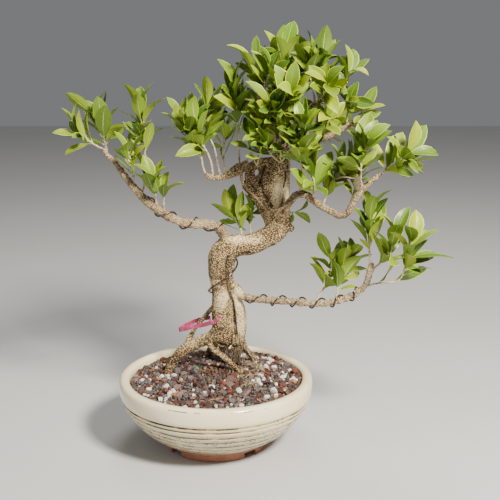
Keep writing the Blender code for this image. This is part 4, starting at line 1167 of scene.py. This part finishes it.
def twig_leaves(line, rng):
    """Leaves set spirally on the outer half of a twig, the last one carrying straight on."""
    leaves, turn = [], rng.uniform(0, math.tau)
    ahead = (line[-1] - line[-2]).normalized()
    across = ahead.orthogonal().normalized()
    for share, lean in LEAF_PLACES:
        turn += GOLDEN_TURN
        out = Matrix.Rotation(turn, 3, ahead) @ across
        way = (ahead * math.cos(lean) + out * math.sin(lean) + Vector((0, -0.12, 0.15))).normalized()
        length = rng.uniform(22, 32) * MM
        up = Vector((0.1, -0.5, 0.85))
        up = (up - way * up.dot(way)).normalized()
        foot = line[round(share * (len(line) - 1))]
        width, arch = length * rng.uniform(0.38, 0.46), rng.uniform(0.0, 0.08)
        leaves.append(Leaf(foot, foot + way * length, way.cross(up), up, width, arch))
    return leaves


def build_twig(node, wood_tree, look):
    """A shoot's woody stem, rounded and let into the branch. Returns the leaves that the CAD shoot had."""
    stem = merged_copy(node.replace("shoot", "twig"), node)
    bm = bmesh.new()
    bm.from_mesh(stem.data)
    leaves, spent = leaves_of(bm)
    bmesh.ops.delete(bm, geom=list(spent), context="VERTS")
    bmesh.ops.holes_fill(bm, edges=bm.edges[:], sides=6)
    bmesh.ops.join_triangles(
        bm, faces=bm.faces[:], angle_face_threshold=math.radians(50),
        angle_shape_threshold=math.radians(80))
    for vert in bm.verts:
        near, _, _, away = wood_tree.find_nearest(vert.co)
        if away < 1.6 * MM:
            vert.co += (near - vert.co).normalized() * 2.2 * MM
    bm.to_mesh(stem.data)
    bm.free()
    modify(stem, "SUBSURF", levels=2, render_levels=2)
    fresh = []
    for vert in stem.data.vertices:
        _, _, _, away = wood_tree.find_nearest(vert.co)
        fresh.append(max(0.0, min(1.0, (away / MM - 22) / 30)))
        knot = noise.noise(vert.co * 300) * 0.35 + noise.noise(vert.co * 110) * 0.3 + 0.12
        vert.co += vert.normal * knot * MM
    paint(stem, "fresh", fresh)
    settle(smooth(stem, 180), look, "branch_bark")
    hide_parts(node)
    return leaves


def build_shoots(wood):
    master = leaf_master()
    twig, blade = twig_look(), leaf_look()
    wood_tree = tree_of([wood])
    for node in SHOOT_NODES:
        rng = random.Random(node)
        leaves = build_twig(node, wood_tree, twig)
        if leaves:
            more = FEW_MORE_LEAVES if node.startswith(OPEN_SHOOTS) else MORE_LEAVES
            leaves += [small_leaf(leaf, rng) for leaf in leaves if rng.random() < more]
            foliage(node.replace("shoot", "leaves"), leaves, master, blade, rng, node)
    leaves, twigs = [], []
    rng = random.Random(23)
    for (foot, radius), tips in INNER_TWIGS.items():
        for tip in tips:
            sag = at(*foot).lerp(at(*tip), 0.5) + Vector((0, 0, -3 * MM))
            line = along([at(*foot), sag, at(*tip)], 3 * MM)
            thick = [radius * MM * (1.1 - 0.6 * i / len(line)) for i in range(len(line))]
            twigs.append(tube("inner_twig", line, thick))
            leaves += twig_leaves(line, rng)
    twigs = join("inner_twigs", twigs)
    paint(twigs, "fresh", [0.6] * len(twigs.data.vertices))
    settle(smooth(twigs, 60), twig, "branch_bark")
    foliage("inner_leaves", leaves, master, blade, rng)
    remove(master)


# ---------------------------------------------------------------- pellet

def build_pellet():
    low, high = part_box("fertiliser_pellet")
    deselect()
    radius, middle = (high.x - low.x) / 2, (low + high) / 2
    ops.mesh.primitive_uv_sphere_add(segments=20, ring_count=12, radius=radius, location=middle)
    pellet = apply_place(new_piece("green_pellet"))
    for vert in pellet.data.vertices:
        vert.co += vert.normal * noise.noise(vert.co * 500) * 0.3 * MM
    look = plastic_look("green_pellet", (0.02, 0.30, 0.13), 0.35)
    settle(smooth(pellet, 60), look, "pellet", "fertiliser_pellet")


# ---------------------------------------------------------------- stage

def build_stage():
    deselect()
    ops.mesh.primitive_plane_add(size=6.0, location=(0, 0, 0))
    floor = new_piece("floor")
    look = Look("pale_floor", roughness=0.8)
    shade = look.noise(3.0, 2.0)
    floor.data.materials.append(look.finish(look.mix(shade, (0.50, 0.50, 0.50), (0.55, 0.55, 0.55))))

    def softbox(name, place, target, size, energy, colour=(1, 1, 1)):
        lamp = bpy.data.lights.new(name, "AREA")
        lamp.size, lamp.energy, lamp.color = size, energy, colour
        box = bpy.data.objects.new(name, lamp)
        box.location = place
        box.rotation_euler = (Vector(target) - Vector(place)).to_track_quat("-Z", "Y").to_euler()
        bpy.context.scene.collection.objects.link(box)

    softbox("key", (0.60, -0.90, 1.15), (0, 0, 0.2), 0.26, 66, (1.0, 0.95, 0.84))
    softbox("fill", (-1.2, -0.8, 0.7), (0, 0, 0.2), 1.2, 3.5, (0.95, 0.97, 1.0))
    softbox("top", (0.0, 0.5, 1.5), (0, 0, 0.3), 0.6, 11, (1.0, 0.97, 0.90))
    world = bpy.data.worlds.new("studio")
    world.use_nodes = True
    world.node_tree.nodes["Background"].inputs["Color"].default_value = (0.80, 0.82, 0.85, 1.0)
    world.node_tree.nodes["Background"].inputs["Strength"].default_value = 0.24
    bpy.context.scene.world = world

    camera = bpy.data.objects.new("camera", bpy.data.cameras.new("camera"))
    camera.data.lens = 73.8
    camera.data.sensor_width = 36.0
    camera.data.clip_start = 0.05
    camera.location = at(38.9, -1100.0, 497.0)
    camera.rotation_euler = (math.radians(76.2), 0.0, 0.0)
    bpy.context.scene.collection.objects.link(camera)
    bpy.context.scene.camera = camera


build_stage()
build_pot()
dress_drain()
wood_piece = build_wood()
soil_tree = tree_of([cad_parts["soil"]])
build_ground(tree_of([wood_piece]), soil_tree)
build_roots(wood_piece, soil_tree)
build_straw(soil_tree)
build_pellet()
build_wires()
build_band()
build_shoots(wood_piece)
